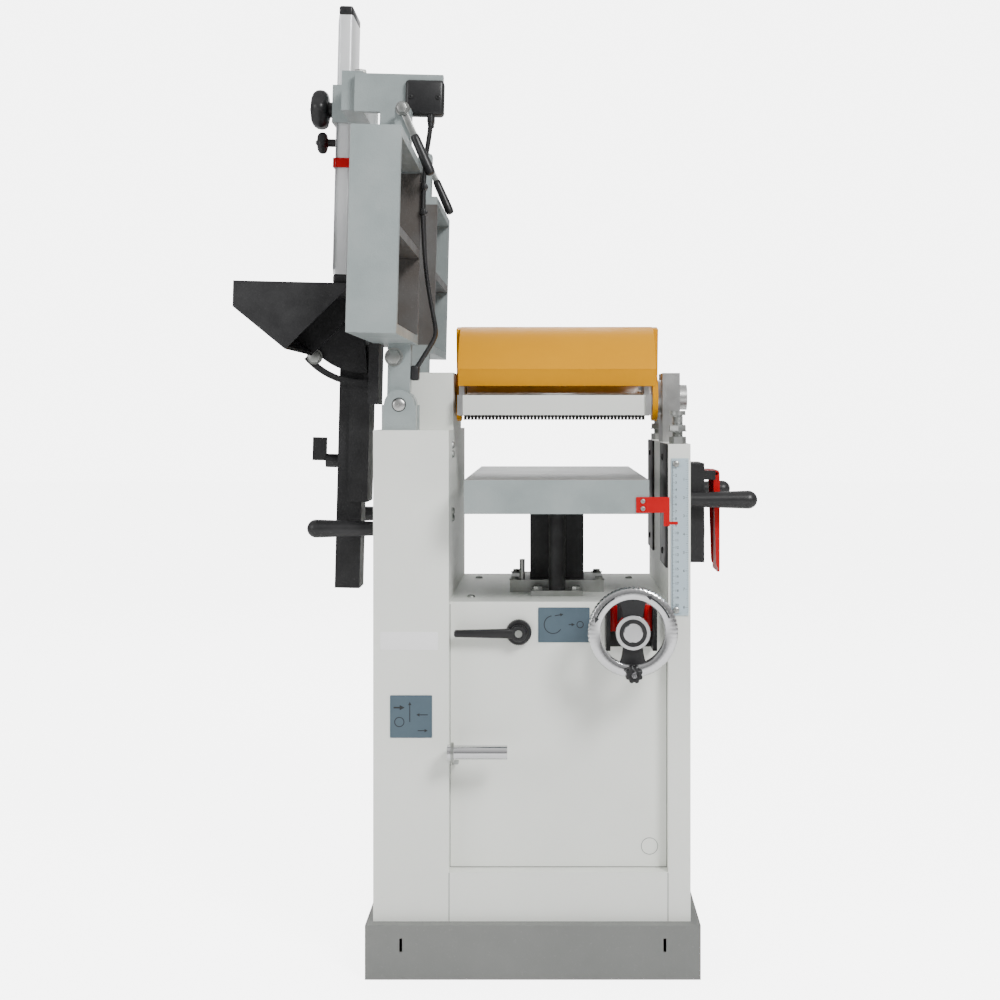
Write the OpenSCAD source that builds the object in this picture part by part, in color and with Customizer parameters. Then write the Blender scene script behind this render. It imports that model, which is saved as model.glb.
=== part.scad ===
/* [Plinth and cabinet] */
// Width of the plinth
plinth_w = 463; // [440:1:520]
// Depth of the plinth
plinth_d = 430; // [410:1:500]
// Height of the plinth
plinth_h = 75; // [60:1:110]
// Wall of the plinth
plinth_t = 4; // [3:0.5:6]
// Distance of the floor bolts from the sides of the plinth
bolt_in_x = 41.5; // [15:0.5:42]
// Distance of the floor bolts from the ends of the plinth
bolt_in_y = 45; // [15:0.5:46]
// Diameter of the floor bolt holes
bolt_d = 12; // [8:1:16]
// Clear width between the two columns
throat_w = 305; // [300:1:312]
// Width of the left column
left_w = 105; // [100:1:110]
// Width of the right column
right_w = 31; // [29:1:34]
// Depth of both columns
col_d = 396; // [380:1:405]
// Top of the left column above the floor
left_top = 757; // [750:1:760]
// Top of the right column above the floor
right_top = 738; // [730:1:740]
// Wall of the cabinet sheets
sheet_t = 3; // [2:0.5:4]
// Setback of the front panel behind the columns
panel_set = 23; // [15:1:30]
// Top of the flush skirt above the floor
skirt_top = 143; // [130:1:160]
// Top of the deck above the floor
deck_top = 516; // [512:1:520]

/* [Cutterblock and feed] */
// Height of the cutterblock axis above the floor
cut_z = 805; // [803:0.5:806]
// Radius of the cutting circle
cut_r = 29.5; // [29:0.5:30]
// Diameter of the cutterblock body
block_d = 56; // [50:1:57]
// Length of the cutterblock body
block_l = 258; // [250:1:260]
// Diameter of the cutterblock shaft
shaft_d = 20; // [16:1:22]
// Outer diameter of the cutterblock bearings
bearing_d = 42; // [36:1:44]
// Diameter of the feed rollers
roller_d = 36; // [30:1:37]
// Distance of each feed roller from the cutterblock axis
roller_y = 62; // [58:1:63]
// Diameter of the roller journals
journal_d = 14; // [10:1:16]
// Number of anti-kickback fingers
finger_n = 52; // [30:1:60]
// Thickness of each finger
finger_t = 4; // [3:0.5:4.4]

/* [Chip hood] */
// Outer radius of the hood shell
hood_r = 107; // [100:0.5:108]
// Wall of the hood shell
hood_t = 3; // [2:0.5:4]
// Bore of the dust port
port_d = 60; // [40:1:64]

/* [Planing tables] */
// Width of the planing tables
tab_w = 254; // [240:1:256]
// Length of both tables together
tab_l = 910; // [860:1:1000]
// Half of the gap over the cutterblock
mouth = 32; // [31:0.5:40]
// Thickness of the table plate
plate_t = 18; // [14:1:19]
// Full depth of the table casting
tab_h = 62; // [50:1:63]
// Depth of cut set on the infeed table
infeed_cut = 1; // [0:0.5:3]
// Diameter of the hinge pins
pin_d = 18; // [14:1:20]
// Fold of the tables from level
fold_deg = 88.6; // [80:0.1:90]

/* [Thicknesser] */
// Width of the thicknesser table
bed_w = 249; // [240:1:252]
// Length of the thicknesser table
bed_l = 530; // [480:1:560]
// Thickness of the thicknesser table
bed_h = 46; // [40:1:50]
// Height of the thicknesser table above the floor
bed_top = 691; // [680:1:691]
// Side of the lift column
lift_w = 80; // [70:1:84]
// Diameter of the lift screw
screw_d = 24; // [18:1:26]
// Outer diameter of the handwheel
wheel_d = 122; // [110:1:130]
// Diameter of the handwheel shaft
wheel_shaft_d = 14; // [12:1:18]

/* [Fence and guard] */
// Height of the fence
fence_h = 150; // [140:1:155]
// Length of the fence
fence_l = 760; // [700:1:900]
// Sheet of the fence
fence_t = 4.5; // [3:0.5:5]
// Height of the fence bar
arm_h = 36; // [30:1:37]
// Width of the fence bar
arm_w = 50; // [40:1:52]
// Length of the fence bar
arm_l = 360; // [320:1:400]
// Length of the guard bar
bar_l = 415; // [380:1:430]
// Width of the guard bar
bar_w = 90; // [80:1:94]
// Thickness of the guard bar
bar_t = 21; // [18:1:22]

/* [Fits] */
// Running clearance on a radius
run = 0.05; // [0.03:0.01:0.1]
// Clearance beside sliding faces
slip = 0.3; // [0.2:0.05:0.5]

/* [Hidden] */

// Overrun of every cut
over = 1;
// Facets of round parts
fine = 64;

// Middle of the throat
work_x = 35.5;
left_in = work_x - throat_w / 2;
left_out = left_in - left_w;
right_in = work_x + throat_w / 2;
right_out = right_in + right_w;
col_y = col_d / 2;
panel_y = panel_set - col_y;

// Inward lip at the bottom of the plinth
lip_w = 50;
// Slots in the front of the plinth
slot_w = 4;
slot_h = 19;
bolt_sx = plinth_w - 2 * bolt_in_x;
bolt_sy = plinth_d - 2 * bolt_in_y;
slot_in = 49.5;
slot_x = plinth_w / 2 - slot_in;
slot_z = 38;

// Heights that follow the cutterblock
tab_z = cut_z + cut_r;
pin_off = 42;
pin_z = tab_z - pin_off;
pin_in = 35;
pin_x = left_out + pin_in;
tab_u = 86;
tab_x0 = pin_x + tab_u;
tab_x1 = tab_x0 + tab_w;
skirt_y = 150;
rib_t = 12;

// Hinge ears and the eye between them
ear_w = 48;
ear_t = 18;
ear_in = 8;
ear_y1 = col_y - ear_in;
eye_t = 24;
eye_d = 44;
eye_y1 = ear_y1 - ear_t - slip;
ear_y0 = eye_y1 - eye_t - slip;

// Drive housing over the left column
house_w = 68;
house_y = 98;
house_up = 35;
house_top = cut_z + house_up;
house_t = 2;
house_wall = 12;
belt_w = 10;
belt_t = 4;
belt_in = 51;
belt_x = left_in - belt_in;
belt_slot = 24;
motor_z = 220;
motor_d = 140;
motor_l = 190;
motor_gap = 14;
pulley_r1 = 45;
pulley_r2 = 28;
pulley_w = 14;

// Bearing block on the right column
block_in = 4;
block_w = 26;
block_y = 40;
block_up = 36;
cap_w = 13;
cap_d = 38;

// Frames that carry the feed rollers
frame_t = 8;
frame_gap = 7;
frame_reach = 126.5;
frame_x0 = left_in + frame_gap;
frame_x1 = work_x + frame_reach;
frame_back = 76;
frame_half = 24;
hub_d = 52;
hub_gap = 2;
hub_bore = shaft_d + 2 * hub_gap;
roller_z = cut_z - cut_r - over + roller_d / 2;
apron_y0 = -115;
apron_t = 10;
apron_down = 27;
apron_z0 = cut_z - apron_down;
apron_h = 29;
rod_in = 17;
rod_down = 16;
rod_y = apron_y0 + rod_in;
rod_z = cut_z - rod_down;
rod_d = 8;
eyelet_d = 12;
finger_l = 18;
finger_tip = rod_z - finger_l;
finger_w = 6;
finger_pitch = (frame_x1 - frame_x0 - frame_t) / finger_n;

// Hood angles about the cutterblock axis
hood_a0 = 50;
hood_a1 = 158;
lip_a = 170;
lip_r = 88;
hood_arm_a = 100;
hood_arm_w = 30;
lap_a = 0.2;
tab_in = 12;
tab_t = 6;
tab_a = 8;
ring_d = 72;
ring_t = frame_x0 - left_in - 2 * slip;
rarm_t = 8;
hood_reach = 142.5;
hood_x1 = work_x + hood_reach;
port_a = 72;
collar_h = 24;
spout_r0 = 84;
collar_t = 3;

module blk(x, y, z, sx, sy, sz) {
  translate([x, y, z]) cube([sx, sy, sz]);
}

module xcyl(x, y, z, d, l) {
  translate([x, y, z]) rotate([0, 90, 0]) cylinder(d = d, h = l, $fn = fine);
}

module ycyl(x, y, z, d, l) {
  translate([x, y, z]) rotate([-90, 0, 0]) cylinder(d = d, h = l, $fn = fine);
}

module zcyl(x, y, z, d, l) {
  translate([x, y, z]) cylinder(d = d, h = l, $fn = fine);
}

// Outline in depth and height, drawn out along the width
module yz(x, l) {
  translate([x, 0, 0]) rotate([90, 0, 90]) linear_extrude(l) children();
}

// Outline in width and height, drawn out along the depth
module xz(y, l) {
  translate([0, y + l, 0]) rotate([90, 0, 0]) linear_extrude(l) children();
}

// Turns what is drawn with the tables level to their folded place
module folded() {
  translate([pin_x, 0, pin_z]) rotate([0, -fold_deg, 0]) translate([-pin_x, 0, -pin_z]) children();
}

module plinth() {
  color("dimgray") difference() {
    blk(-plinth_w / 2, -plinth_d / 2, 0, plinth_w, plinth_d, plinth_h);
    blk(plinth_t - plinth_w / 2, plinth_t - plinth_d / 2, plinth_t,
      plinth_w - 2 * plinth_t, plinth_d - 2 * plinth_t, plinth_h - 2 * plinth_t);
    blk(lip_w - plinth_w / 2, lip_w - plinth_d / 2, -over,
      plinth_w - 2 * lip_w, plinth_d - 2 * lip_w, plinth_t + 2 * over);
    for (sx = [-1, 1]) for (sy = [-1, 1])
      zcyl(sx * bolt_sx / 2, sy * bolt_sy / 2, -over, bolt_d, plinth_t + 2 * over);
    for (sx = [-1, 1])
      blk(sx * slot_x - slot_w / 2, -plinth_d / 2 - over, slot_z, slot_w, plinth_t + 2 * over, slot_h);
  }
}

module column(x, w, top) {
  difference() {
    blk(x, -col_y, plinth_h, w, col_d, top - plinth_h);
    blk(x + sheet_t, sheet_t - col_y, plinth_h - over,
      w - 2 * sheet_t, col_d - 2 * sheet_t, top - plinth_h - sheet_t + over);
  }
}

module left_column() {
  color("gainsboro") difference() {
    column(left_out, left_w, left_top);
    blk(belt_x - belt_slot / 2, -pulley_r1 - belt_slot, left_top - sheet_t - over,
      belt_slot, 2 * pulley_r1 + 2 * belt_slot, sheet_t + 2 * over);
    xcyl(left_in - sheet_t - over, 0, motor_z, 2 * shaft_d, sheet_t + 2 * over);
    xcyl(left_in - sheet_t - over, feed_y, feed_z, feed_pin + 2 * run, sheet_t + 2 * over);
  }
}

module right_column() {
  color("gainsboro") column(right_in, right_w, right_top);
}

module front_panel() {
  color("gainsboro") difference() {
    panel_sheets();
    ycyl(wheel_x, panel_y - over, wheel_z, wheel_shaft_d + 2 * slip, sheet_t + 2 * over);
    ycyl(clamp_x, panel_y - over, clamp_z, clamp_stud + 2 * run, sheet_t + 2 * over);
  }
}

module panel_sheets() {
  union() {
    blk(left_in, panel_y, skirt_top - sheet_t, throat_w, sheet_t, deck_top - skirt_top);
    blk(left_in, -col_y, skirt_top - sheet_t, throat_w, panel_set + sheet_t, sheet_t);
    blk(left_in, -col_y, plinth_h, throat_w, sheet_t, skirt_top - plinth_h);
  }
}

module rear_panel() {
  color("gainsboro")
    blk(left_in, col_y - sheet_t, plinth_h, throat_w, sheet_t, deck_top - sheet_t - plinth_h);
}

// Guide of the lift column
guide_w = 139;
guide_d = 120;
guide_y0 = -guide_d / 2;
guide_h = 18;
low_d = 8;
low_h = 30;
lift_off = 1.5;
lift_x = work_x - lift_off;
lift_bot = 400;
screw_y = -95;
nut_d = 60;
nut_z = 450;
flange_w = 76;
flange_d = 34;
flange_h = 8;

module deck() {
  color("gainsboro") difference() {
    blk(left_in, panel_y, deck_top - sheet_t, throat_w, col_y - panel_y, sheet_t);
    blk(lift_x - lift_w / 2 - slip, -lift_w / 2 - slip, deck_top - sheet_t - over,
      lift_w + 2 * slip, lift_w + 2 * slip, sheet_t + 2 * over);
    zcyl(lift_x, screw_y, deck_top - sheet_t - over, screw_d + 2 * slip, sheet_t + 2 * over);
  }
}

module guide_plate() {
  color("black")
    zcyl(lift_x - guide_w / 2 + guide_h, guide_y0 + guide_h / 2, deck_top + guide_h, low_d, low_h);
  color("silver") difference() {
    blk(lift_x - guide_w / 2, guide_y0, deck_top, guide_w, guide_d, guide_h);
    blk(lift_x - lift_w / 2 - slip, -lift_w / 2 - slip, deck_top - over,
      lift_w + 2 * slip, lift_w + 2 * slip, guide_h + 2 * over);
  }
}

module screw_flange() {
  color("silver") difference() {
    blk(lift_x - flange_w / 2, screw_y - flange_d / 2, deck_top, flange_w, flange_d, flange_h);
    zcyl(lift_x, screw_y, deck_top - over, screw_d + 2 * run, flange_h + 2 * over);
  }
}

module deck_plates() {
  guide_plate();
  screw_flange();
}

module drive_housing() {
  color("gainsboro") difference() {
    blk(left_in - house_w, -house_y, left_top, house_w, 2 * house_y, house_top - left_top);
    blk(left_in - house_w + house_t, house_t - house_y, left_top - over,
      house_w - house_t - house_wall, 2 * house_y - 2 * house_t, house_top - left_top - house_t + over);
    xcyl(left_in - house_wall - over, 0, cut_z, bearing_d, house_wall + 2 * over);
  }
}

module hinge_ears() {
  color("lightslategray") for (s = [-1, 1]) for (y = [ear_y1 - ear_t, ear_y0 - ear_t])
    translate([0, s < 0 ? -y - ear_t : y, 0]) difference() {
      union() {
        blk(pin_x - ear_w / 2, 0, left_top, ear_w, ear_t, pin_z - left_top);
        ycyl(pin_x, 0, pin_z, ear_w - 2 * sheet_t, ear_t);
      }
      ycyl(pin_x, -over, pin_z, pin_d + 2 * run, ear_t + 2 * over);
    }
}

module hinge_pins() {
  color("silver") for (s = [-1, 1])
    ycyl(pin_x, s < 0 ? -ear_y1 : ear_y0 - ear_t, pin_z, pin_d, ear_y1 - ear_y0 + ear_t);
}

module bearing_block() {
  color("silver") difference() {
    union() {
      blk(right_in + block_in, -block_y, right_top, block_w, 2 * block_y, cut_z + block_up - right_top);
      xcyl(right_in + block_in + block_w, 0, cut_z, cap_d, cap_w);
      xcyl(frame_x1 + frame_t, 0, cut_z, hub_d, right_in + block_in - frame_x1 - frame_t);
    }
    xcyl(frame_x1 + frame_t - over, 0, cut_z, hub_bore, right_in + block_in - frame_x1 + over);
    xcyl(right_in + block_in, 0, cut_z, bearing_d, house_wall);
  }
}

module frame_plate(x) {
  difference() {
    union() {
      blk(x, -frame_back, cut_z - frame_half - block_in, frame_t, 2 * frame_back, 2 * frame_half);
      blk(x, apron_y0 - block_in, apron_z0, frame_t, -frame_back - apron_y0 + block_in + over, apron_h);
    }
    xcyl(x - over, 0, cut_z, hub_bore, frame_t + 2 * over);
    for (s = [-1, 1])
      xcyl(x - over, s * roller_y, roller_z, journal_d + 2 * run, frame_t + 2 * over);
    xcyl(x - over, rod_y, rod_z, rod_d, frame_t + 2 * over);
  }
}

module roller_frames() {
  color("slategray") {
    frame_plate(frame_x0);
    frame_plate(frame_x1);
    difference() {
      xcyl(left_in, 0, cut_z, hub_d, frame_x0 - left_in);
      xcyl(left_in - over, 0, cut_z, hub_bore, frame_x0 - left_in + 2 * over);
    }
  }
}

module cutter_bearings() {
  color("silver") for (x = [left_in - house_wall, right_in + block_in]) difference() {
    xcyl(x, 0, cut_z, bearing_d, house_wall);
    xcyl(x - over, 0, cut_z, shaft_d + 2 * run, house_wall + 2 * over);
  }
}

module apron_bar() {
  color("lightgray")
    blk(frame_x0 + frame_t, apron_y0, apron_z0, frame_x1 - frame_x0 - frame_t, apron_t, apron_h);
}

module finger_rod() {
  color("silver") xcyl(frame_x0, rod_y, rod_z, rod_d, frame_x1 + frame_t - frame_x0);
}

module fingers() {
  color("dimgray") for (i = [0 : finger_n - 1]) difference() {
    x = frame_x0 + frame_t + finger_pitch * i + (finger_pitch - finger_t) / 2;
    union() {
      xcyl(x, rod_y, rod_z, eyelet_d, finger_t);
      blk(x, rod_y - finger_w / 2, finger_tip, finger_t, finger_w, rod_z - finger_tip);
    }
    xcyl(x - over, rod_y, rod_z, rod_d + 2 * run, finger_t + 2 * over);
  }
}

module motor() {
  color("slategray") {
    xcyl(left_in + motor_gap, 0, motor_z, motor_d, motor_l);
    xcyl(left_in + motor_gap + motor_l, 0, motor_z, motor_d - 2 * motor_gap, motor_gap);
  }
}

module motor_bracket() {
  color("dimgray") difference() {
    blk(left_in + 2 * motor_gap, -motor_d / 2, plinth_h, motor_l / 2, motor_d, motor_z - plinth_h);
    xcyl(left_in, 0, motor_z, motor_d, motor_l);
    blk(left_in, -motor_d / 4, plinth_h - over, motor_l, motor_d / 2, motor_d / 4 + over);
  }
}

module drive_belt() {
  color("black") difference() {
    yz(belt_x - belt_w / 2, belt_w) hull() {
      translate([0, motor_z]) circle(r = pulley_r1 + slip + belt_t, $fn = fine);
      translate([0, cut_z]) circle(r = pulley_r2 + slip + belt_t, $fn = fine);
    }
    yz(belt_x - belt_w / 2 - over, belt_w + 2 * over) hull() {
      translate([0, motor_z]) circle(r = pulley_r1 + slip, $fn = fine);
      translate([0, cut_z]) circle(r = pulley_r2 + slip, $fn = fine);
    }
  }
}

module cutterblock() {
  color("silver") {
    yz(block_x0, block_l) translate([0, cut_z]) {
      difference() {
        circle(d = block_d, $fn = fine);
        for (a = [0 : knife_step : 359]) rotate(a)
          translate([gullet_in, block_d / 2 - gullet_h]) square([gullet_w, 2 * gullet_h]);
      }
      for (a = [0 : knife_step : 359]) rotate(a)
        translate([gullet_in - knife_t + knife_drop, block_d / 2 - 2 * gullet_h])
          square([knife_t, cut_r - block_d / 2 + 2 * gullet_h - knife_drop]);
    }
    xcyl(belt_x - pulley_w / 2, 0, cut_z, shaft_d, right_in + block_in + house_wall - belt_x + pulley_w / 2);
  }
}

// Cutterblock gullets and knives
block_x0 = frame_x0 + frame_t + over;
gullet_in = 2;
gullet_w = 12;
gullet_h = 7;
knife_t = 3;
knife_drop = 0.3;
knife_step = 120;

module cutter_pulley() {
  color("dimgray") difference() {
    xcyl(belt_x - pulley_w / 2, 0, cut_z, 2 * pulley_r2, pulley_w);
    xcyl(belt_x - pulley_w / 2 - over, 0, cut_z, shaft_d + 2 * run, pulley_w + 2 * over);
  }
}

module motor_pulley() {
  color("dimgray") {
    xcyl(belt_x - pulley_w / 2, 0, motor_z, 2 * pulley_r1, pulley_w);
    xcyl(belt_x, 0, motor_z, shaft_d, left_in + motor_gap - slip - belt_x);
  }
}

module roller_core(y) {
  xcyl(block_x0, y, roller_z, roller_d, frame_x1 - over - block_x0);
  xcyl(frame_x0, y, roller_z, journal_d, frame_x1 + frame_t - frame_x0);
}

// Serrations of the infeed roller
serr_n = 24;
serr_w = 2;
serr_h = 1.5;

module infeed_roller() {
  color("slategray") difference() {
    roller_core(-roller_y);
    for (i = [0 : serr_n - 1]) translate([0, -roller_y, roller_z]) rotate([i * 360 / serr_n, 0, 0])
      blk(block_x0 - over, -serr_w / 2, roller_d / 2 - serr_h,
        frame_x1 + over - block_x0, serr_w, serr_h + over);
  }
}

module outfeed_roller() {
  color("slategray") roller_core(roller_y);
}

// Ring sector about the cutterblock axis, from angle a0 to a1
module sector(r0, r1, a0, a1) {
  translate([0, cut_z]) intersection() {
    difference() {
      circle(r = r1, $fn = 2 * fine);
      circle(r = r0, $fn = 2 * fine);
    }
    polygon([[0, 0], for (k = [0 : 4]) 2 * r1 * [cos(a0 + (a1 - a0) * k / 4), sin(a0 + (a1 - a0) * k / 4)]]);
  }
}

function polar(r, a) = [r * cos(a), cut_z + r * sin(a)];

module hood_arm(x, l) {
  yz(x, l) difference() {
    union() {
      translate([0, cut_z]) circle(d = ring_d, $fn = fine);
      translate([0, cut_z]) rotate([0, 0, hood_arm_a - 90])
        translate([-hood_arm_w / 2, 0]) square([hood_arm_w, hood_r - hood_t / 2]);
    }
    translate([0, cut_z]) circle(d = hub_d + 2 * run, $fn = fine);
  }
}

module hood() {
  hood_l = hood_x1 - frame_x0 + slip;
  color("gold") difference() {
    union() {
      yz(frame_x0 - slip, hood_l) sector(hood_r - hood_t, hood_r, hood_a0, hood_a1);
      yz(frame_x0 - slip, hood_l) polygon([polar(hood_r, hood_a1 - lap_a),
        polar(hood_r - hood_t, hood_a1 - lap_a), polar(lip_r, lip_a), polar(lip_r + hood_t, lip_a)]);
    }
    translate([work_x, 0, cut_z]) rotate([port_a - 90, 0, 0])
      zcyl(0, 0, spout_r0, port_d, 2 * collar_h);
  }
}

// Side arms of the hood, which turn on the bearing hubs
module hood_arms() {
  color("gold") {
    hood_arm(left_in + slip, ring_t);
    yz(left_in + slip, ring_t + tab_in) hood_tab();
    hood_arm(hood_x1, rarm_t);
    yz(hood_x1 - tab_in, rarm_t + tab_in) hood_tab();
  }
}

module hood_tab() {
  sector(hood_r - hood_t - tab_t, hood_r - hood_t - run, hood_arm_a - tab_a, hood_arm_a + tab_a);
}

// Dust spout under the hood, with a saddle that follows its shell
module dust_spout() {
  color("black") difference() {
    intersection() {
      translate([work_x, 0, cut_z]) rotate([port_a - 90, 0, 0])
        zcyl(0, 0, spout_r0, port_d + 2 * collar_t, collar_h);
      xcyl(work_x - port_d, 0, cut_z, 2 * (hood_r - hood_t - slip), 2 * port_d);
    }
    translate([work_x, 0, cut_z]) rotate([port_a - 90, 0, 0])
      zcyl(0, 0, spout_r0 - over, port_d, collar_h + 2 * over);
  }
}

// Thicknesser table and what hangs from it
bed_off = 3;
bed_x = work_x - bed_off;
bed_bot = bed_top - bed_h;
bed_skin = 16;
bed_wall = 12;
bed_core = 130;
lift_t = 8;

module thickness_table() {
  color("lightslategray") difference() {
    blk(bed_x - bed_w / 2, -bed_l / 2, bed_bot, bed_w, bed_l, bed_h);
    for (s = [-1, 1])
      blk(bed_x - bed_w / 2 + bed_wall, s < 0 ? bed_wall - bed_l / 2 : bed_core, bed_bot - over,
        bed_w - 2 * bed_wall, bed_l / 2 - bed_wall - bed_core, bed_h - bed_skin + over);
  }
}

module lift_column() {
  color("black") difference() {
    blk(lift_x - lift_w / 2, -lift_w / 2, lift_bot, lift_w, lift_w, bed_bot - lift_bot);
    blk(lift_x - lift_w / 2 + lift_t, lift_t - lift_w / 2, lift_bot - over,
      lift_w - 2 * lift_t, lift_w - 2 * lift_t, bed_bot - lift_bot - lift_t + over);
  }
}

module lift_screw() {
  color("black") zcyl(lift_x, screw_y, screw_end, screw_d, bed_bot - screw_end);
}

screw_end = 365;
sprocket_d = 90;
sprocket_h = 8;

module lift_nut() {
  color("silver") difference() {
    union() {
      zcyl(lift_x, screw_y, nut_z, nut_d - 2 * sprocket_h, deck_top - sheet_t - slip - nut_z);
      zcyl(lift_x, screw_y, nut_z, sprocket_d, sprocket_h);
    }
    zcyl(lift_x, screw_y, nut_z - over, screw_d + 2 * run, deck_top - nut_z);
  }
}

// Red pointer on the front of the thicknesser table
point_off = 107;
point_x0 = bed_x + point_off;
point_w = 38;
point_h = 21;
point_t = 2;
point_leg = 8;
point_drop = 18;
point_tip = 10;

module pointer() {
  y = -bed_l / 2 - point_t;
  z = bed_bot + point_t;
  color("red") {
    blk(point_x0, y, z, point_w, point_t, point_h);
    blk(point_x0 + point_w - over, y, z - point_drop, point_leg, point_t, point_h + point_drop);
    blk(point_x0 + point_w, y, z - point_drop + point_t, point_leg + point_tip, point_t, point_leg / 2);
  }
}

// Handwheel on the front panel
wheel_off = 100;
wheel_down = 31;
wheel_out = 87;
wheel_x = work_x + wheel_off;
wheel_z = deck_top - wheel_down;
wheel_y = panel_y - wheel_out;
rim_w = 18;
rim_t = 16;
spoke_w = 30;
spoke_t = 8;
hub_l = 26;
hub_wheel_d = 46;
wheel_shaft_l = 150;
knob_d = 24;
knob_l = 30;
stud_d = 8;
notch_n = 20;
notch_d = 8;

module handwheel() {
  color("silver") translate([wheel_x, wheel_y, wheel_z]) {
    difference() {
      ycyl(0, 0, 0, wheel_d, rim_t);
      ycyl(0, -over, 0, wheel_d - 2 * rim_w, rim_t + 2 * over);
      for (i = [0 : notch_n - 1])
        translate([wheel_d / 2 * cos(i * 360 / notch_n), rim_t / 2, wheel_d / 2 * sin(i * 360 / notch_n)])
          ycyl(0, 0, 0, notch_d, rim_t);
    }
    difference() {
      blk(-spoke_w / 2, rim_t / 2 - spoke_t / 2, rim_w / 2 - wheel_d / 2, spoke_w, spoke_t, wheel_d - rim_w);
      ycyl(0, -over, 0, wheel_shaft_d, rim_t + 2 * over);
    }
    ycyl(0, -hub_l / 4, 0, hub_wheel_d, hub_l);
    ycyl(0, 0, 0, wheel_shaft_d, wheel_shaft_l);
    ycyl(0, -knob_l, -(wheel_d - rim_w) / 2, stud_d, knob_l + rim_t / 2);
  }
}

module wheel_knob() {
  color("black") translate([wheel_x, wheel_y, wheel_z - (wheel_d - rim_w) / 2]) difference() {
    ycyl(0, -knob_l, 0, knob_d, knob_l - slip);
    ycyl(0, -knob_l - over, 0, stud_d + 2 * run, knob_l + 2 * over);
  }
}

// Bracket behind the handwheel
cheek_t = 6;
cheek_gap = 58;
cheek_h = 64;
cheek_up = 34;
cheek_d = 52;
boss_t = 12;

module wheel_bracket() {
  color("black") difference() {
    union() {
      for (x = [-cheek_gap / 2 - cheek_t, cheek_gap / 2])
        blk(wheel_x + x, panel_y - cheek_d, wheel_z + cheek_up - cheek_h, cheek_t, cheek_d, cheek_h);
      blk(wheel_x - cheek_gap / 2, panel_y - boss_t, wheel_z + cheek_up - cheek_h,
        cheek_gap, boss_t, cheek_h);
    }
    ycyl(wheel_x, panel_y - boss_t - over, wheel_z, wheel_shaft_d + 2 * run, boss_t + 2 * over);
  }
}

// Clamp lever of the lift screw
clamp_off = 55.5;
clamp_down = 42;
clamp_x = work_x - clamp_off;
clamp_z = deck_top - clamp_down;
clamp_d = 36;
clamp_t = 12;
clamp_l = 90;
clamp_w = 12;
clamp_stud = 12;

module clamp_lever() {
  color("black") translate([clamp_x, panel_y, clamp_z]) {
    ycyl(0, -clamp_t - slip, 0, clamp_d, clamp_t);
    ycyl(0, -clamp_t, 0, clamp_stud, 3 * clamp_t);
    blk(-clamp_l, -2 * clamp_t, -clamp_w / 2, clamp_l, clamp_t, clamp_w);
    ycyl(0, -2 * clamp_t, 0, clamp_d - clamp_w, 2 * clamp_t - over);
  }
}

// Feed lever on the left column
feed_in = 11;
feed_y = feed_in - col_y;
feed_z = 300;
feed_reach = 44;
feed_rise = 17;
feed_t = 5;
feed_d = 20;
feed_l = 78;
feed_pin = 10;
feed_eye = 22;

module feed_lever() {
  color("silver") translate([left_in + slip, feed_y, feed_z]) {
    xcyl(-sheet_t - slip, 0, 0, feed_pin, sheet_t + feed_t);
    yz(0, feed_t) hull() {
      circle(d = feed_eye, $fn = fine / 2);
      translate([-feed_reach, feed_rise]) circle(d = feed_eye, $fn = fine / 2);
    }
    xcyl(feed_t - over, -feed_reach, feed_rise, feed_d, feed_l);
  }
}

// Carry handles on both columns
grip_d0 = 20;
grip_d1 = 26;
grip_l = 86;
grip_front = 46;
grip_back = 28;
grip_down_l = 140;
grip_down_r = 80;
grip_y0 = grip_front - col_y;
grip_y1 = col_y - grip_back;
grip_zl = left_top - grip_down_l;
grip_zr = right_top - grip_down_r;

module grip(x, y, z, s) {
  translate([x, y, z]) rotate([0, s * 90, 0]) {
    cylinder(d1 = grip_d0, d2 = grip_d1, h = grip_l, $fn = fine);
    translate([0, 0, grip_l]) sphere(d = grip_d1, $fn = fine / 2);
  }
}

module carry_handles() {
  color("black") for (y = [grip_y0, grip_y1]) {
    grip(left_out, y, grip_zl, -1);
    grip(right_out, y, grip_zr, 1);
  }
}

// Studs that the lowered tables rest on
stud_off = 14;
stud_in = 13;
stud_x = right_in + stud_off;
stud_y = col_y - stud_in;
rest_d = 14;
rest_down = 50.5;
rest_top = tab_z - rest_down;
nut_w = 24;
nut_t = 10;
pad_d = 22;
pad_t = 6;

module stop_studs() {
  color("silver") for (s = [-1, 1]) {
    zcyl(stud_x, s * stud_y, right_top, rest_d, rest_top - right_top);
    translate([stud_x, s * stud_y, right_top]) cylinder(d = nut_w, h = nut_t, $fn = 6);
    zcyl(stud_x, s * stud_y, rest_top - pad_t, pad_d, pad_t);
  }
}

// Switch box on the right column
box_w = 26;
box_in = 66;
box_y0 = box_in - col_y;
box_d = 90;
box_down = 171;
box_z0 = right_top - box_down;
box_h = 142;
ear_sw = 8;
hinge_out = 10;
hinge_up = 125;
hinge_x = right_out + box_w + hinge_out;
hinge_z = box_z0 + hinge_up;
hinge_pin = 6;
hinge_eye = 13;
button_d = 22;
button_up = 43;
button_z = box_z0 + button_up;
button_in = 10;
button_out = 4;
paddle_t = 4;
paddle_l = 140;

module switch_box() {
  color("black") {
    difference() {
      blk(right_out, box_y0, box_z0, box_w, box_d, box_h);
      xcyl(right_out + box_w - 2 * button_in, box_y0 + box_d / 2, button_z,
        button_d + 2 * run, 2 * button_in + over);
    }
    for (y = [box_y0, box_y0 + box_d - ear_sw])
      blk(right_out + box_w, y, hinge_z - hinge_eye / 2,
        hinge_x + hinge_pin - right_out - box_w, ear_sw, hinge_eye);
    ycyl(hinge_x, box_y0 + over, hinge_z, hinge_pin, box_d - 2 * over);
  }
}

module start_button() {
  color("green")
    xcyl(right_out + box_w - button_in, box_y0 + box_d / 2, button_z, button_d, button_in + button_out);
}

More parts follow.
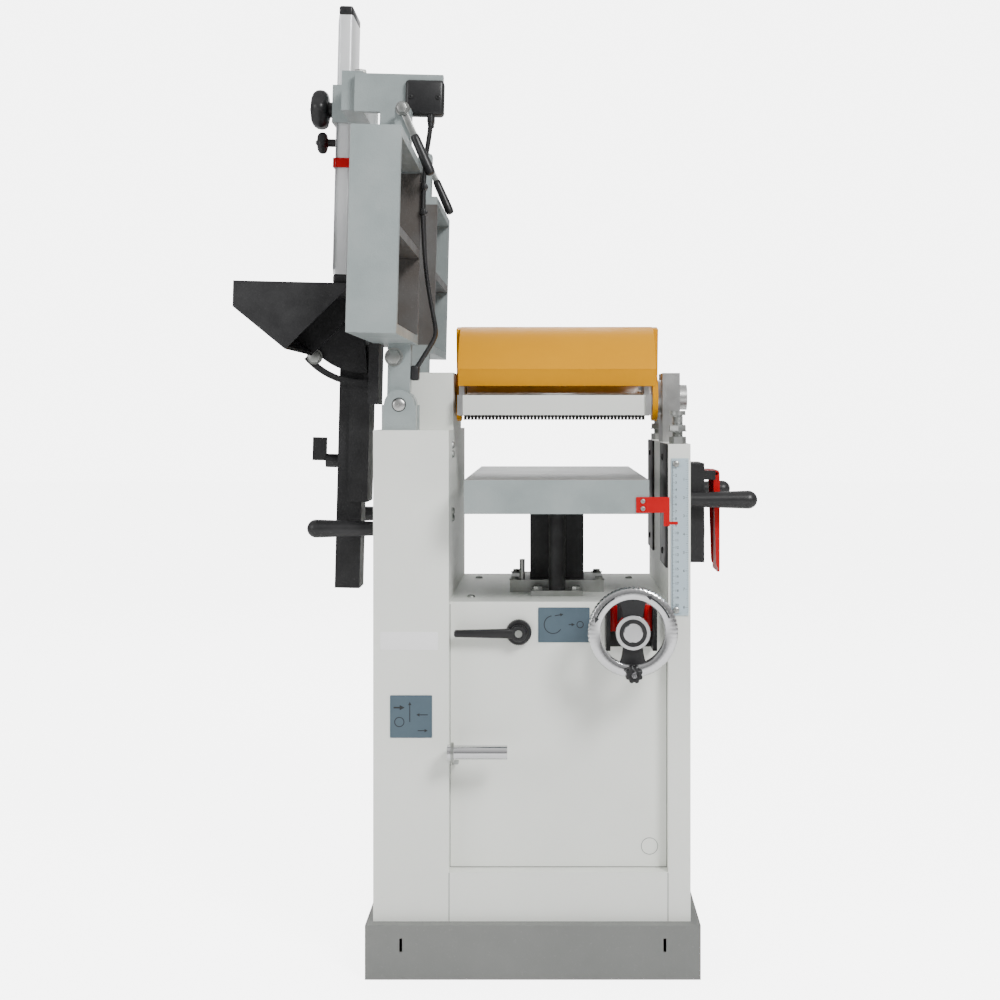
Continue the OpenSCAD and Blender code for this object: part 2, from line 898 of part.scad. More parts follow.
module stop_paddle() {
  y = box_y0 + ear_sw + slip;
  w = box_d - 2 * ear_sw - 2 * slip;
  color("red") difference() {
    union() {
      ycyl(hinge_x, y, hinge_z, hinge_eye, w);
      blk(hinge_x, y, hinge_z - hinge_eye / 2, hinge_eye, w, hinge_eye);
      blk(hinge_x + hinge_eye - paddle_t, y, hinge_z - paddle_l, paddle_t, w, paddle_l);
    }
    ycyl(hinge_x, y - over, hinge_z, hinge_pin + 2 * run, w + 2 * over);
  }
}

// Thickness rule on the right column
rule_in = 4;
rule_x = right_in + rule_in;
rule_w = 24;
rule_t = 2;
rule_down = 238;
rule_z0 = right_top - rule_down;
rule_h = 218;
rule_screw = 7;

module rule() {
  color("lightblue") blk(rule_x, -col_y - rule_t, rule_z0, rule_w, rule_t, rule_h);
  color("silver") for (z = [rule_screw, rule_h - rule_screw])
    ycyl(rule_x + rule_w / 2, -col_y - 2 * rule_t, rule_z0 + z, rule_screw, rule_t);
}

// Planing table, running away from its mouth in direction s
module casting(s, z) {
  y1 = tab_l / 2;
  scale([1, s, 1]) {
    blk(tab_x0, mouth, z - plate_t, tab_w, y1 - mouth, plate_t);
    blk(tab_x0, skirt_y, z - tab_h, rib_t, y1 - skirt_y, tab_h - plate_t + over);
    blk(tab_x1 - rib_t, skirt_y, z - tab_h, rib_t, y1 - skirt_y, tab_h - plate_t + over);
    blk(tab_x0, y1 - rib_t, z - tab_h, tab_w, rib_t, tab_h - plate_t + over);
    blk(tab_x0, skirt_y, z - tab_h, tab_w, rib_t, tab_h - plate_t + over);
    blk((tab_x0 + tab_x1 - rib_t) / 2, skirt_y, z - tab_h, rib_t, y1 - skirt_y, tab_h - plate_t + over);
  }
}

module infeed_table() {
  color("lightslategray") folded() casting(-1, tab_z - infeed_cut);
}

module outfeed_table() {
  color("lightslategray") folded() casting(1, tab_z);
}

// Hinge block, rest lug and lock boss of one table
block_h = 32;
lug_w = 30;
lug_h = 22;
lug_l = 72;
lock_out = 4;
lock_x = right_out + lock_out;
lock_z = rest_top + over + lug_h / 2;
lock_d = 12;
lock_head = 10;

module mount_set(s) {
  y0 = s < 0 ? -eye_y1 : ear_y0 + slip;
  ly = s * stud_y;
  difference() {
    union() {
      ycyl(pin_x, y0, pin_z, eye_d, eye_t);
      blk(pin_x, y0, pin_z - eye_d / 2 + plate_t / 2, tab_x0 - pin_x, eye_t, block_h);
    }
    ycyl(pin_x, y0 - over, pin_z, pin_d + 2 * run, eye_t + 2 * over);
  }
  blk(tab_x1, ly - lug_w / 2, rest_top + over, lug_l, lug_w, lug_h);
  ycyl(lock_x, s < 0 ? ly - lug_w / 2 - lock_head : ly + lug_w / 2 - over, lock_z, lock_d, lock_head + over);
}

module infeed_hinge() {
  color("lightslategray") folded() mount_set(-1);
}

module outfeed_hinge() {
  color("lightslategray") folded() mount_set(1);
}

// Lock lever of one table
lever_t = 6;
lever_eye = 20;
lever_a = 205;
lever_l = 42;
sleeve_l = 58;
sleeve_d = 14;

module lock_lever(s) {
  ly = s * (stud_y + lug_w / 2 + slip);
  y0 = s < 0 ? ly - lever_t : ly;
  translate([lock_x, 0, lock_z]) difference() {
    union() {
      ycyl(0, y0, 0, lever_eye, lever_t);
      rotate([0, -lever_a, 0]) {
        blk(0, y0, -lever_eye / 4, lever_l, lever_t, lever_eye / 2);
        translate([lever_l - over, y0 + lever_t / 2, 0]) xcyl(0, 0, 0, sleeve_d, sleeve_l);
      }
    }
    ycyl(0, y0 - over, 0, lock_d + 2 * run, lever_t + 2 * over);
  }
}

module infeed_lock() {
  color("black") folded() lock_lever(-1);
}

module outfeed_lock() {
  color("black") folded() lock_lever(1);
}

// Fence, in places measured from the hinge pin
arm_up = 60;
arm_reach = 92;
arm_z = pin_z + arm_up;
arm_x1 = pin_x + arm_reach;
arm_y0 = -100;
guide_len = 234;
guide_t = 9;
rail_t = 8;
rail_h = 20;
cross_in = 60;
carrier_y = -162;
carrier_up = 33;
carrier_z = pin_z + carrier_up;
carrier_h = 14;
riser_w = 8;
face_reach = 152;
tilt_in = 14;
tilt_up = 62;
face_x = pin_x + face_reach;
tilt_x = face_x - tilt_in;
tilt_z = pin_z + tilt_up;
tilt_pin = 10;
tilt_eye = 18;
foot_gap = 3;
fence_z0 = tab_z + foot_gap;

module fence_guide() {
  color("dimgray") folded() {
    blk(arm_x1 - guide_len, arm_y0 - rail_t - slip, arm_z - guide_t - slip,
      tab_x0 - arm_x1 + guide_len, arm_w + 2 * rail_t + 2 * slip, guide_t);
    for (y = [arm_y0 - rail_t - slip, arm_y0 + arm_w + slip])
      blk(arm_x1 - guide_len, y, arm_z - guide_t - slip,
        guide_len - cross_in - slip, rail_t, guide_t + rail_h);
    blk(pin_x, carrier_y, carrier_z, tab_x0 - pin_x, arm_y0 - carrier_y, carrier_h);
    blk(pin_x, arm_y0 - rail_t - slip, carrier_z, tab_x0 - pin_x, riser_w, arm_z - guide_t - carrier_z);
  }
}

module fence_bar() {
  color("black") folded() blk(arm_x1 - arm_l, arm_y0, arm_z, arm_l, arm_w, arm_h);
}

// Quadrant that the fence tilts on
quad_t = 8;
quad_out = 19;
quad_y = arm_y0 - quad_out;
quad_r = 112;
track_r = 98;
track_w = 10;
quad_a0 = 132;
quad_a1 = 185;
track_a0 = 137;
track_a1 = 182;
track_more = 3;
strap_t = 6;
strap_r = 8;
strap_a = 4;

module quad_sector(r0, r1, a0, a1) {
  translate([tilt_x, tilt_z]) intersection() {
    difference() {
      circle(r = r1, $fn = 2 * fine);
      circle(r = r0, $fn = 2 * fine);
    }
    polygon([[0, 0], for (k = [0 : 4]) 2 * r1 * [cos(a0 + (a1 - a0) * k / 4), sin(a0 + (a1 - a0) * k / 4)]]);
  }
}

module fence_bracket() {
  color("black") folded() {
    difference() {
      union() {
        xz(quad_y, quad_t) quad_sector(0, quad_r, quad_a0, quad_a1);
        ycyl(tilt_x, quad_y, tilt_z, tilt_eye, quad_t);
      }
      xz(quad_y - over, quad_t + 2 * over)
        quad_sector(track_r - track_w / 2, track_r + track_w / 2,
          track_a0 - track_more, track_a1 + track_more);
      ycyl(tilt_x, quad_y - over, tilt_z, tilt_pin + 2 * run, quad_t + 2 * over);
    }
    blk(arm_x1, quad_y, arm_z, guide_t, arm_y0 + arm_w - quad_y, arm_h);
  }
}

// Outline of the fence from the foot of its face
fence_top_share = 0.22;
fence_back_share = 0.57;
fence_belly_share = 0.55;
rear_x = face_x - fence_back_share * fence_h;
rear_z = fence_z0 + fence_belly_share * fence_h;
crest_x = face_x - fence_top_share * fence_h;
crest_z = fence_z0 + fence_h;
gap_out = 46;
gap_in = 25;
gap_y0 = quad_y - gap_out;
gap_y1 = arm_y0 + arm_w + gap_in;
gusset_t = 3;

module fence() {
  y0 = -fence_l / 2;
  color("black") folded() union() {
    blk(face_x - fence_t, y0, fence_z0, fence_t, fence_l, fence_h);
    blk(crest_x, y0, crest_z - fence_t, face_x - crest_x, fence_l, fence_t);
    for (r = [[y0, gap_y0 - y0], [gap_y1, -y0 - gap_y1]]) xz(r[0], r[1])
      polygon([[crest_x, crest_z], [crest_x + fence_t, crest_z],
        [rear_x + fence_t, rear_z], [rear_x, rear_z]]);
    for (y = [y0, gap_y0 - gusset_t, gap_y1, -y0 - gusset_t]) xz(y, gusset_t)
      polygon([[face_x, fence_z0], [face_x, crest_z], [crest_x, crest_z], [rear_x, rear_z]]);
    ycyl(tilt_x, quad_y - strap_t - slip, tilt_z, tilt_eye, strap_t);
    blk(tilt_x, quad_y - strap_t - slip, tilt_z - tilt_eye / 2, face_x - tilt_x, strap_t, tilt_eye);
    ycyl(tilt_x, quad_y - strap_t, tilt_z, tilt_pin, strap_t + quad_t);
    xz(quad_y - strap_t - slip, strap_t)
      quad_sector(track_r - strap_r, track_r + strap_r, track_a0 - strap_a, track_a0 + strap_a);
    xz(quad_y - strap_t - slip, strap_t)
      polygon([[face_x - fence_t, crest_z - fence_h / 4], [face_x - fence_t, tilt_z + fence_h / 4],
        quad_point(track_r - strap_r, track_a0 - strap_a),
        quad_point(track_r + strap_r, track_a0 - strap_a)]);
    bolt_at(track_r, track_a0);
  }
}

function quad_point(r, a) = [tilt_x + r * cos(a), tilt_z + r * sin(a)];

module bolt_at(r, a) {
  p = quad_point(r, a);
  ycyl(p[0], quad_y - strap_t, p[1], track_w - 2 * slip, strap_t + quad_t);
}

// Lever knob that locks the fence bar
lock_u = -84;
fk_d = 20;
fk_l = 40;
fk_stud = 10;
fk_bar = 34;

module fence_knob() {
  color("black") folded() translate([pin_x + lock_u, arm_y0 + arm_w / 2, arm_z + arm_h]) {
    zcyl(0, 0, slip, fk_d, fk_l / 2);
    translate([0, -fk_d / 4, fk_l / 2]) cube([fk_bar, fk_d / 2, fk_d]);
  }
}

// Guard over the cutterblock
plate_out = 8;
plate_x0 = right_out + plate_out;
plate_l = 54;
plate_band = 13;
plate_in = 4;
plate_up = 6;
plate_z0 = right_top + plate_up;
plate_h = 125;
ga_y0 = -160;
ga_t = 14;
strap_down = 24;
strap_z = tab_z - strap_down;
strap_h = 22;
gb_off = 4;
gb_x0 = plate_x0 + gb_off;
gb_l = 56;
gb_up = 97;
gb_z = pin_z + gb_up;
gb_in = 30;
gb_wall = 6;

module guard_arm() {
  color("lightslategray") folded() {
    blk(tab_x1, ga_y0, strap_z, plate_x0 - tab_x1 + over, ga_t, strap_h);
    xz(ga_y0, ga_t) polygon([[plate_x0, pin_z + plate_in],
      [plate_x0 + plate_l - plate_band, pin_z + plate_in],
      [plate_x0 + plate_l - plate_band, plate_z0], [plate_x0 + plate_l, plate_z0],
      [plate_x0 + plate_l, plate_z0 + plate_h], [plate_x0, plate_z0 + plate_h]]);
  }
}

module guard_block() {
  color("lightslategray") folded() difference() {
    union() {
      blk(gb_x0, -bar_w / 2 - gb_wall, gb_z - gb_in, gb_l, bar_w + 2 * gb_wall, bar_t + gb_in + gb_wall);
      blk(gb_x0, ga_y0 + ga_t, gb_z - gb_in, gb_l, -bar_w / 2 - ga_y0 - ga_t, gb_in);
    }
    blk(gb_x0 - over, -bar_w / 2 - slip, gb_z - slip, gb_l + 2 * over, bar_w + 2 * slip, bar_t + 2 * slip);
    zcyl(gb_x0 + gb_l / 2, 0, gb_z + bar_t, fk_stud + 2 * run, 2 * gb_wall);
  }
}

bar_off = 27;
bar_x0 = face_x + bar_off;
cap_l = 14;

module guard_bar() {
  color("silver") folded() blk(bar_x0 + cap_l, -bar_w / 2, gb_z, bar_l - 2 * cap_l, bar_w, bar_t);
  color("black") folded() for (x = [bar_x0, bar_x0 + bar_l - cap_l])
    blk(x, -bar_w / 2, gb_z, cap_l, bar_w, bar_t);
}

clip_l = 66;
clip_x = gb_x0 - clip_l;
clip_t = 3;

module guard_clip() {
  color("red") folded() {
    blk(clip_x, -bar_w / 4, gb_z + bar_t + slip, clip_l, bar_w / 2, clip_t);
    blk(clip_x, -bar_w / 2 - clip_t - slip, gb_z + bar_t + slip, cap_l, bar_w, clip_t);
    blk(clip_x, -bar_w / 2 - clip_t - slip, gb_z, cap_l, clip_t, bar_t + clip_t + slip);
  }
}

gk_d = 62;
gk_t = 26;
gk_stem = 24;

module guard_knob() {
  color("black") folded() translate([gb_x0 + gb_l / 2, 0, gb_z + bar_t + slip]) {
    zcyl(0, 0, slip, fk_stud, gk_stem + gb_wall);
    zcyl(0, 0, gb_wall + 2 * slip, gk_stem, gk_stem);
    zcyl(0, 0, gb_wall + gk_stem / 2, gk_d, gk_t);
  }
}

// Safety switch leads under the infeed table, held along its middle rib
cable_d = 6;
cable_n = 8;
lead_a = [[136, -154, 768], [92, -154, 768], [14, -154, 764], [-36, -154, 756],
  [-76, -154, 746], [-90, -154, 746], [-108, -154, 756], [-138, -154, 774]];
lead_b = [[112, -165, 768], [72, -165, 768], [4, -165, 762], [-40, -165, 754],
  [-76, -165, 746], [-90, -165, 746], [-108, -165, 756], [-138, -165, 774]];

function side(t) = cross(t, [0, 1, 0]);

function ring(p, t, k) = let (u = norm(side(t)) > 0 ? side(t) / norm(side(t)) : [1, 0, 0], v = cross(t, u))
  p + cable_d / 2 * (cos(k * 360 / cable_n) * u + sin(k * 360 / cable_n) * v);

module sweep(path) {
  n = len(path);
  t = [for (i = [0 : n - 1]) let (d = path[min(i + 1, n - 1)] - path[max(i - 1, 0)]) d / norm(d)];
  pts = [for (i = [0 : n - 1]) for (k = [0 : cable_n - 1]) ring(path[i], t[i], k)];
  sides = [for (i = [0 : n - 2]) for (k = [0 : cable_n - 1])
    [i * cable_n + k, i * cable_n + (k + 1) % cable_n,
      (i + 1) * cable_n + (k + 1) % cable_n, (i + 1) * cable_n + k]];
  ends = [[for (k = [cable_n - 1 : -1 : 0]) k], [for (k = [0 : cable_n - 1]) (n - 1) * cable_n + k]];
  polyhedron(points = pts, faces = concat(sides, ends));
}

module cables() {
  color("black") folded() {
    sweep(lead_a);
    sweep(lead_b);
  }
}

plinth();
left_column();
right_column();
front_panel();
rear_panel();
deck();
deck_plates();
drive_housing();
hinge_ears();
hinge_pins();
bearing_block();
roller_frames();
cutter_bearings();
apron_bar();
finger_rod();
motor();
motor_bracket();
drive_belt();
carry_handles();
stop_studs();
switch_box();
rule();
wheel_bracket();
cutterblock();
cutter_pulley();
motor_pulley();
infeed_roller();
outfeed_roller();
fingers();
hood();
hood_arms();
dust_spout();
thickness_table();
lift_column();
lift_screw();
pointer();
lift_nut();
handwheel();
wheel_knob();
clamp_lever();
feed_lever();
stop_paddle();
start_button();
infeed_table();
infeed_hinge();
outfeed_table();
outfeed_hinge();
infeed_lock();
outfeed_lock();
fence_guide();
fence_bar();
fence_bracket();
fence();
fence_knob();
guard_arm();
guard_block();
guard_bar();
guard_clip();
guard_knob();
cables();
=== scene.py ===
import math

import bmesh
import bpy
from mathutils import Matrix, Vector


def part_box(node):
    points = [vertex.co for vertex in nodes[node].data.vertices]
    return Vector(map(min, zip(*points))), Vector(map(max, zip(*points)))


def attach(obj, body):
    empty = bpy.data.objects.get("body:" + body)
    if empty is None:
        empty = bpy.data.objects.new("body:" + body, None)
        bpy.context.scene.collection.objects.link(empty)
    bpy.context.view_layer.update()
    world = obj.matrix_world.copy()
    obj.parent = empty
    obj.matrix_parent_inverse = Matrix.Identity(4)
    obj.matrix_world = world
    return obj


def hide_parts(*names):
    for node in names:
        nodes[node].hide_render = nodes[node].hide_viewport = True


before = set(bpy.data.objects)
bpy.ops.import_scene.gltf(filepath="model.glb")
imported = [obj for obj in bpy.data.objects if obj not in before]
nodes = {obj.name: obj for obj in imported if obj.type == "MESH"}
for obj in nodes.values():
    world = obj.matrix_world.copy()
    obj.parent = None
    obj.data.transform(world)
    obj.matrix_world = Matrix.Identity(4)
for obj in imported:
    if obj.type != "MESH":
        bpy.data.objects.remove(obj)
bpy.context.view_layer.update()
print("frame loaded:", len(nodes), "solids")


def addObject(name, data):
    obj = bpy.data.objects.new(name, data)
    bpy.context.scene.collection.objects.link(obj)
    return obj


# camera: level, looking along the feed from the infeed end
cameraSet = {"place": (0.0223, -2.284, 0.7796), "lens": 54.07, "sensor": 36.0, "shift": (-0.049, -0.086),
             "far": 50}


def setCamera():
    data = bpy.data.cameras.new("photoCamera")
    data.lens = cameraSet["lens"]
    data.sensor_width = cameraSet["sensor"]
    data.sensor_fit = "HORIZONTAL"
    data.shift_x, data.shift_y = cameraSet["shift"]
    data.clip_end = cameraSet["far"]
    cam = addObject("photoCamera", data)
    cam.location = cameraSet["place"]
    cam.rotation_euler = (math.radians(90), 0, 0)
    bpy.context.scene.camera = cam


setCamera()


# shader helpers: a socket is linked to its input, anything else is set as its value
def setInputs(tree, node, values):
    for key, value in values.items():
        if isinstance(value, bpy.types.NodeSocket):
            tree.links.new(value, node.inputs[key])
        else:
            node.inputs[key].default_value = value


def addNode(tree, kind, values, **settings):
    node = tree.nodes.new("ShaderNode" + kind)
    for name, setting in settings.items():
        setattr(node, name, setting)
    setInputs(tree, node, values)
    return node


def mathOf(tree, operation, *values):
    return addNode(tree, "Math", dict(enumerate(values)), operation=operation).outputs[0]


def vectorOf(tree, operation, *values):
    return addNode(tree, "VectorMath", dict(enumerate(values)), operation=operation).outputs[0]


def mixColor(tree, factor, a, b):
    return addNode(tree, "Mix", {0: factor, 6: a, 7: b}, data_type="RGBA").outputs[2]


def mixValue(tree, factor, a, b):
    return addNode(tree, "Mix", {0: factor, 2: a, 3: b}).outputs[0]


def noiseOf(tree, vector, scale, detail=4.0, rough=0.55):
    values = {"Vector": vector, "Scale": scale, "Detail": detail, "Roughness": rough}
    return addNode(tree, "TexNoise", values).outputs["Fac"]


def rangeOf(tree, value, low, high):
    return addNode(tree, "MapRange", {"Value": value, "From Min": low, "From Max": high}).outputs["Result"]


# studio: pale floor, three soft lamps, and a sky that is dim near the floor and bright overhead
studio = {
    "floor": 30.0, "paper": (0.93, 0.93, 0.93, 1), "paperRough": 0.9, "floorGlow": 5.2,
    "sky": (1, 1, 1, 1), "skyLow": 0.22, "skyHigh": 0.9, "backdrop": 6.0,
    "lamps": [
        {"name": "keyLamp", "place": (1.5, -2.5, 2.6), "aim": (0.0, 0.0, 0.6), "size": 0.9, "power": 100},
        {"name": "fillLamp", "place": (-2.6, -1.9, 1.7), "aim": (-0.1, 0.0, 0.7), "size": 1.8, "power": 34},
        {"name": "backLamp", "place": (-0.6, 2.6, 2.6), "aim": (0.0, 0.0, 0.8), "size": 2.0, "power": 40},
    ],
}


def setFloor():
    bm = bmesh.new()
    bmesh.ops.create_grid(bm, x_segments=2, y_segments=2, size=studio["floor"] / 2)
    mesh = bpy.data.meshes.new("studioFloor")
    bm.to_mesh(mesh)
    bm.free()
    paper = bpy.data.materials.new("floorPaper")
    paper.use_nodes = True
    tree = paper.node_tree
    seen = tree.nodes.new("ShaderNodeLightPath").outputs["Is Camera Ray"]  # no glow on the machine
    setInputs(tree, tree.nodes["Principled BSDF"], {
        "Base Color": studio["paper"], "Roughness": studio["paperRough"], "Emission Color": (1, 1, 1, 1),
        "Emission Strength": mathOf(tree, "MULTIPLY", seen, studio["floorGlow"])})
    mesh.materials.append(paper)
    addObject("studioFloor", mesh)


def setLamps():
    for lamp in studio["lamps"]:
        light = bpy.data.lights.new(lamp["name"], "AREA")
        light.size = lamp["size"]
        light.energy = lamp["power"]
        obj = addObject(lamp["name"], light)
        obj.location = lamp["place"]
        way = Vector(lamp["aim"]) - Vector(lamp["place"])
        obj.rotation_euler = way.to_track_quat("-Z", "Y").to_euler()


def setSky():
    world = bpy.data.worlds.new("studioSky")
    world.use_nodes = True
    tree = world.node_tree
    seen = tree.nodes.new("ShaderNodeLightPath").outputs["Is Camera Ray"]  # the backdrop itself stays white
    ray = tree.nodes.new("ShaderNodeTexCoord").outputs["Generated"]
    height = addNode(tree, "SeparateXYZ", {0: ray}).outputs["Z"]
    dome = addNode(tree, "MapRange", {"Value": height, "To Min": studio["skyLow"],
                                      "To Max": studio["skyHigh"]})
    shown = {"Value": seen, "To Min": dome.outputs["Result"], "To Max": studio["backdrop"]}
    strength = addNode(tree, "MapRange", shown)
    setInputs(tree, tree.nodes["Background"], {"Color": studio["sky"],
                                               "Strength": strength.outputs["Result"]})
    bpy.context.scene.world = world


setFloor()
setLamps()
setSky()
print("camera and studio set")


# shared shader groups
def newGroup(name, ins, outs):
    group = bpy.data.node_groups.new(name, "ShaderNodeTree")
    for label, kind, value in ins:
        sock = group.interface.new_socket(name=label, in_out="INPUT", socket_type="NodeSocket" + kind)
        if value is not None:
            sock.default_value = value
    for label, kind in outs:
        group.interface.new_socket(name=label, in_out="OUTPUT", socket_type="NodeSocket" + kind)
    return group, group.nodes.new("NodeGroupInput").outputs, group.nodes.new("NodeGroupOutput")


# slow change of colour and gloss over a surface, with fine specks of dust
mottleSet = {"tone": (0.35, 0.65), "speckScale": 310.0, "speck": (0.62, 0.78), "wearScale": 23.0,
             "wear": (0.3, 0.7)}


def makeMottle():
    group, gin, gout = newGroup("surfaceMottle", [
        ("Vector", "Vector", None), ("Base", "Color", None), ("Shade", "Color", None),
        ("Dust", "Color", None),
        ("Scale", "Float", 6.0), ("Dust Amount", "Float", 0.1), ("Gloss Low", "Float", 0.35),
        ("Gloss High", "Float", 0.55)], [("Color", "Color"), ("Roughness", "Float")])
    slow = noiseOf(group, gin["Vector"], gin["Scale"])
    toned = mixColor(group, rangeOf(group, slow, *mottleSet["tone"]), gin["Base"], gin["Shade"])
    speck = noiseOf(group, gin["Vector"], mottleSet["speckScale"], 2.0)
    dots = mathOf(group, "MULTIPLY", rangeOf(group, speck, *mottleSet["speck"]), gin["Dust Amount"])
    wear = noiseOf(group, gin["Vector"], mottleSet["wearScale"], 5.0, 0.65)
    gloss = mixValue(group, rangeOf(group, wear, *mottleSet["wear"]), gin["Gloss Low"], gin["Gloss High"])
    setInputs(group, gout, {"Color": mixColor(group, dots, toned, gin["Dust"]), "Roughness": gloss})
    return group


# fine relief: orange peel, casting skin or moulded grain by scale, drawn out by the stretch
def makeRelief():
    group, gin, gout = newGroup("surfaceRelief", [
        ("Vector", "Vector", None), ("Stretch", "Vector", (1, 1, 1)), ("Scale", "Float", 500.0),
        ("Coarse", "Float", 60.0)], [("Height", "Float")])
    drawn = vectorOf(group, "MULTIPLY", gin["Vector"], gin["Stretch"])
    fine, broad = (noiseOf(group, drawn, gin[label], 3.0) for label in ("Scale", "Coarse"))
    setInputs(group, gout, {"Height": mathOf(group, "ADD", fine, broad)})
    return group


# mask that is 1 inside a span of distance from the middle plane and a span of height
def makePocket():
    group, gin, gout = newGroup("castPocket", [
        ("Vector", "Vector", None), ("Low", "Vector", None), ("High", "Vector", None)], [("Mask", "Float")])
    place = vectorOf(group, "ABSOLUTE", gin["Vector"])
    depths = []
    for ends in ((place, gin["Low"]), (gin["High"], place)):
        gap = addNode(group, "SeparateXYZ", {0: vectorOf(group, "SUBTRACT", *ends)}).outputs
        depths.append(mathOf(group, "MINIMUM", gap["Y"], gap["Z"]))
    setInputs(group, gout, {"Mask": rangeOf(group, mathOf(group, "MINIMUM", *depths), 0.0, 0.002)})
    return group


mottle = makeMottle()
relief = makeRelief()
pocket = makePocket()

# what a plain paint has, then finishes: base, shade and dust colours, gloss range, and what differs
plainFinish = {"fine": 900, "coarse": 200, "stretch": (1, 1, 1), "metal": 0, "specular": 0.5, "coat": 0,
               "coatRough": 0.2, "deep": 0.001, "specks": 0.12}


def finishOf(base, shade, dust, gloss, **rest):
    return {**plainFinish, "base": base, "shade": shade, "dust": dust, "gloss": gloss, **rest}


finishes = {
    "cabinetPaint": finishOf(
        (0.88, 0.897, 0.845), (0.845, 0.86, 0.81), (0.55, 0.56, 0.52), (0.34, 0.46),
        scale=5, coarse=140, bump=0.05, coat=0.12),
    "plinthPaint": finishOf(
        (0.20, 0.205, 0.197), (0.18, 0.185, 0.178), (0.4, 0.4, 0.38), (0.42, 0.56),
        scale=6, fine=800, coarse=120, bump=0.06),
    "castPaint": finishOf(
        (0.32, 0.36, 0.36), (0.26, 0.30, 0.30), (0.42, 0.45, 0.44), (0.3, 0.46),
        scale=14, fine=420, coarse=75, bump=0.22, coat=0.15),
    "groundIron": finishOf(
        (0.62, 0.63, 0.63), (0.52, 0.53, 0.53), (0.4, 0.4, 0.4), (0.29, 0.42),
        scale=12, fine=700, coarse=90, bump=0.08, metal=0.85, stretch=(1, 0.06, 1)),
    "turnedSteel": finishOf(
        (0.6, 0.6, 0.59), (0.48, 0.48, 0.47), (0.35, 0.34, 0.33), (0.29, 0.4),
        scale=18, fine=600, coarse=150, bump=0.06, metal=1, stretch=(1, 1, 0.2)),
    "zincPlate": finishOf(
        (0.44, 0.45, 0.44), (0.36, 0.37, 0.35), (0.4, 0.38, 0.3), (0.29, 0.42),
        scale=40, bump=0.06, metal=1),
    "chromePlate": finishOf(
        (0.78, 0.78, 0.79), (0.72, 0.72, 0.73), (0.6, 0.6, 0.6), (0.1, 0.2),
        scale=20, coarse=120, bump=0.02, metal=1),
    "drawnAlloy": finishOf(
        (0.9, 0.91, 0.92), (0.84, 0.85, 0.86), (0.55, 0.55, 0.55), (0.29, 0.42),
        scale=9, fine=800, coarse=160, bump=0.05, metal=0.35, stretch=(1, 1, 0.03)),
    "hammerBlack": finishOf(
        (0.018, 0.018, 0.019), (0.03, 0.03, 0.031), (0.08, 0.08, 0.08), (0.34, 0.5),
        scale=30, fine=480, coarse=150, bump=0.3, specular=0.3),
    "blackSteel": finishOf(
        (0.035, 0.034, 0.033), (0.055, 0.053, 0.05), (0.15, 0.14, 0.13), (0.3, 0.48),
        scale=60, fine=700, coarse=160, bump=0.1, metal=0.7),
    "mouldedBlack": finishOf(
        (0.014, 0.014, 0.015), (0.022, 0.022, 0.023), (0.06, 0.06, 0.06), (0.28, 0.42),
        scale=20, fine=700, coarse=120, bump=0.06, specular=0.4),
    "leadRubber": finishOf(
        (0.012, 0.012, 0.013), (0.02, 0.02, 0.02), (0.07, 0.07, 0.07), (0.24, 0.36),
        scale=30, bump=0.06),
    "hoodYellow": finishOf(
        (0.82, 0.36, 0.0), (0.78, 0.335, 0.0), (0.75, 0.33, 0.0), (0.3, 0.42),
        scale=7, coarse=110, bump=0.04, specular=0.08),
    "signalRed": finishOf(
        (0.5, 0.0, 0.004), (0.44, 0.0, 0.003), (0.45, 0.02, 0.02), (0.26, 0.38),
        scale=15, fine=800, coarse=130, bump=0.05, specular=0.25),
    "startGreen": finishOf(
        (0.02, 0.28, 0.06), (0.016, 0.23, 0.05), (0.2, 0.35, 0.2), (0.25, 0.35),
        scale=15, fine=800, coarse=130, bump=0.04),
    "slatePlate": finishOf(
        (0.075, 0.115, 0.145), (0.065, 0.10, 0.13), (0.12, 0.16, 0.18), (0.4, 0.52),
        scale=12, bump=0.03),
    "signInk": finishOf(
        (0.012, 0.014, 0.016), (0.018, 0.02, 0.022), (0.05, 0.05, 0.05), (0.45, 0.55),
        scale=20, bump=0.02),
    "signWhite": finishOf(
        (0.98, 0.98, 0.98), (0.96, 0.96, 0.96), (0.9, 0.9, 0.9), (0.4, 0.5),
        scale=12, bump=0.02),
    "ruleBlue": finishOf(
        (0.56, 0.68, 0.74), (0.51, 0.63, 0.70), (0.4, 0.5, 0.55), (0.3, 0.42),
        scale=16, bump=0.03, metal=0.25),
}


def addMottle(tree, place, look, specks=0.1):
    low, high = look["gloss"]
    colours = {key.capitalize(): (*look[key], 1) for key in ("base", "shade", "dust")}
    return addNode(tree, "Group", {"Vector": place, "Scale": look["scale"], "Dust Amount": specks,
                                   "Gloss Low": low, "Gloss High": high, **colours}, node_tree=mottle).outputs


def makeFinish(name, look):
    mat = bpy.data.materials.new(name)
    mat.use_nodes = True
    tree = mat.node_tree
    place = tree.nodes.new("ShaderNodeTexCoord").outputs["Object"]
    tone = addMottle(tree, place, look, look["specks"])
    skin = addNode(tree, "Group", {"Vector": place, "Stretch": look["stretch"], "Scale": look["fine"],
                                   "Coarse": look["coarse"]}, node_tree=relief)
    bump = addNode(tree, "Bump", {"Strength": look["bump"], "Distance": look["deep"],
                                  "Height": skin.outputs["Height"]})
    setInputs(tree, tree.nodes["Principled BSDF"], {
        "Base Color": tone["Color"], "Roughness": tone["Roughness"], "Normal": bump.outputs["Normal"],
        "Metallic": look["metal"], "Specular IOR Level": look["specular"], "Coat Weight": look["coat"],
        "Coat Roughness": look["coatRough"]})
    return mat


mats = {name: makeFinish(name, look) for name, look in finishes.items()}

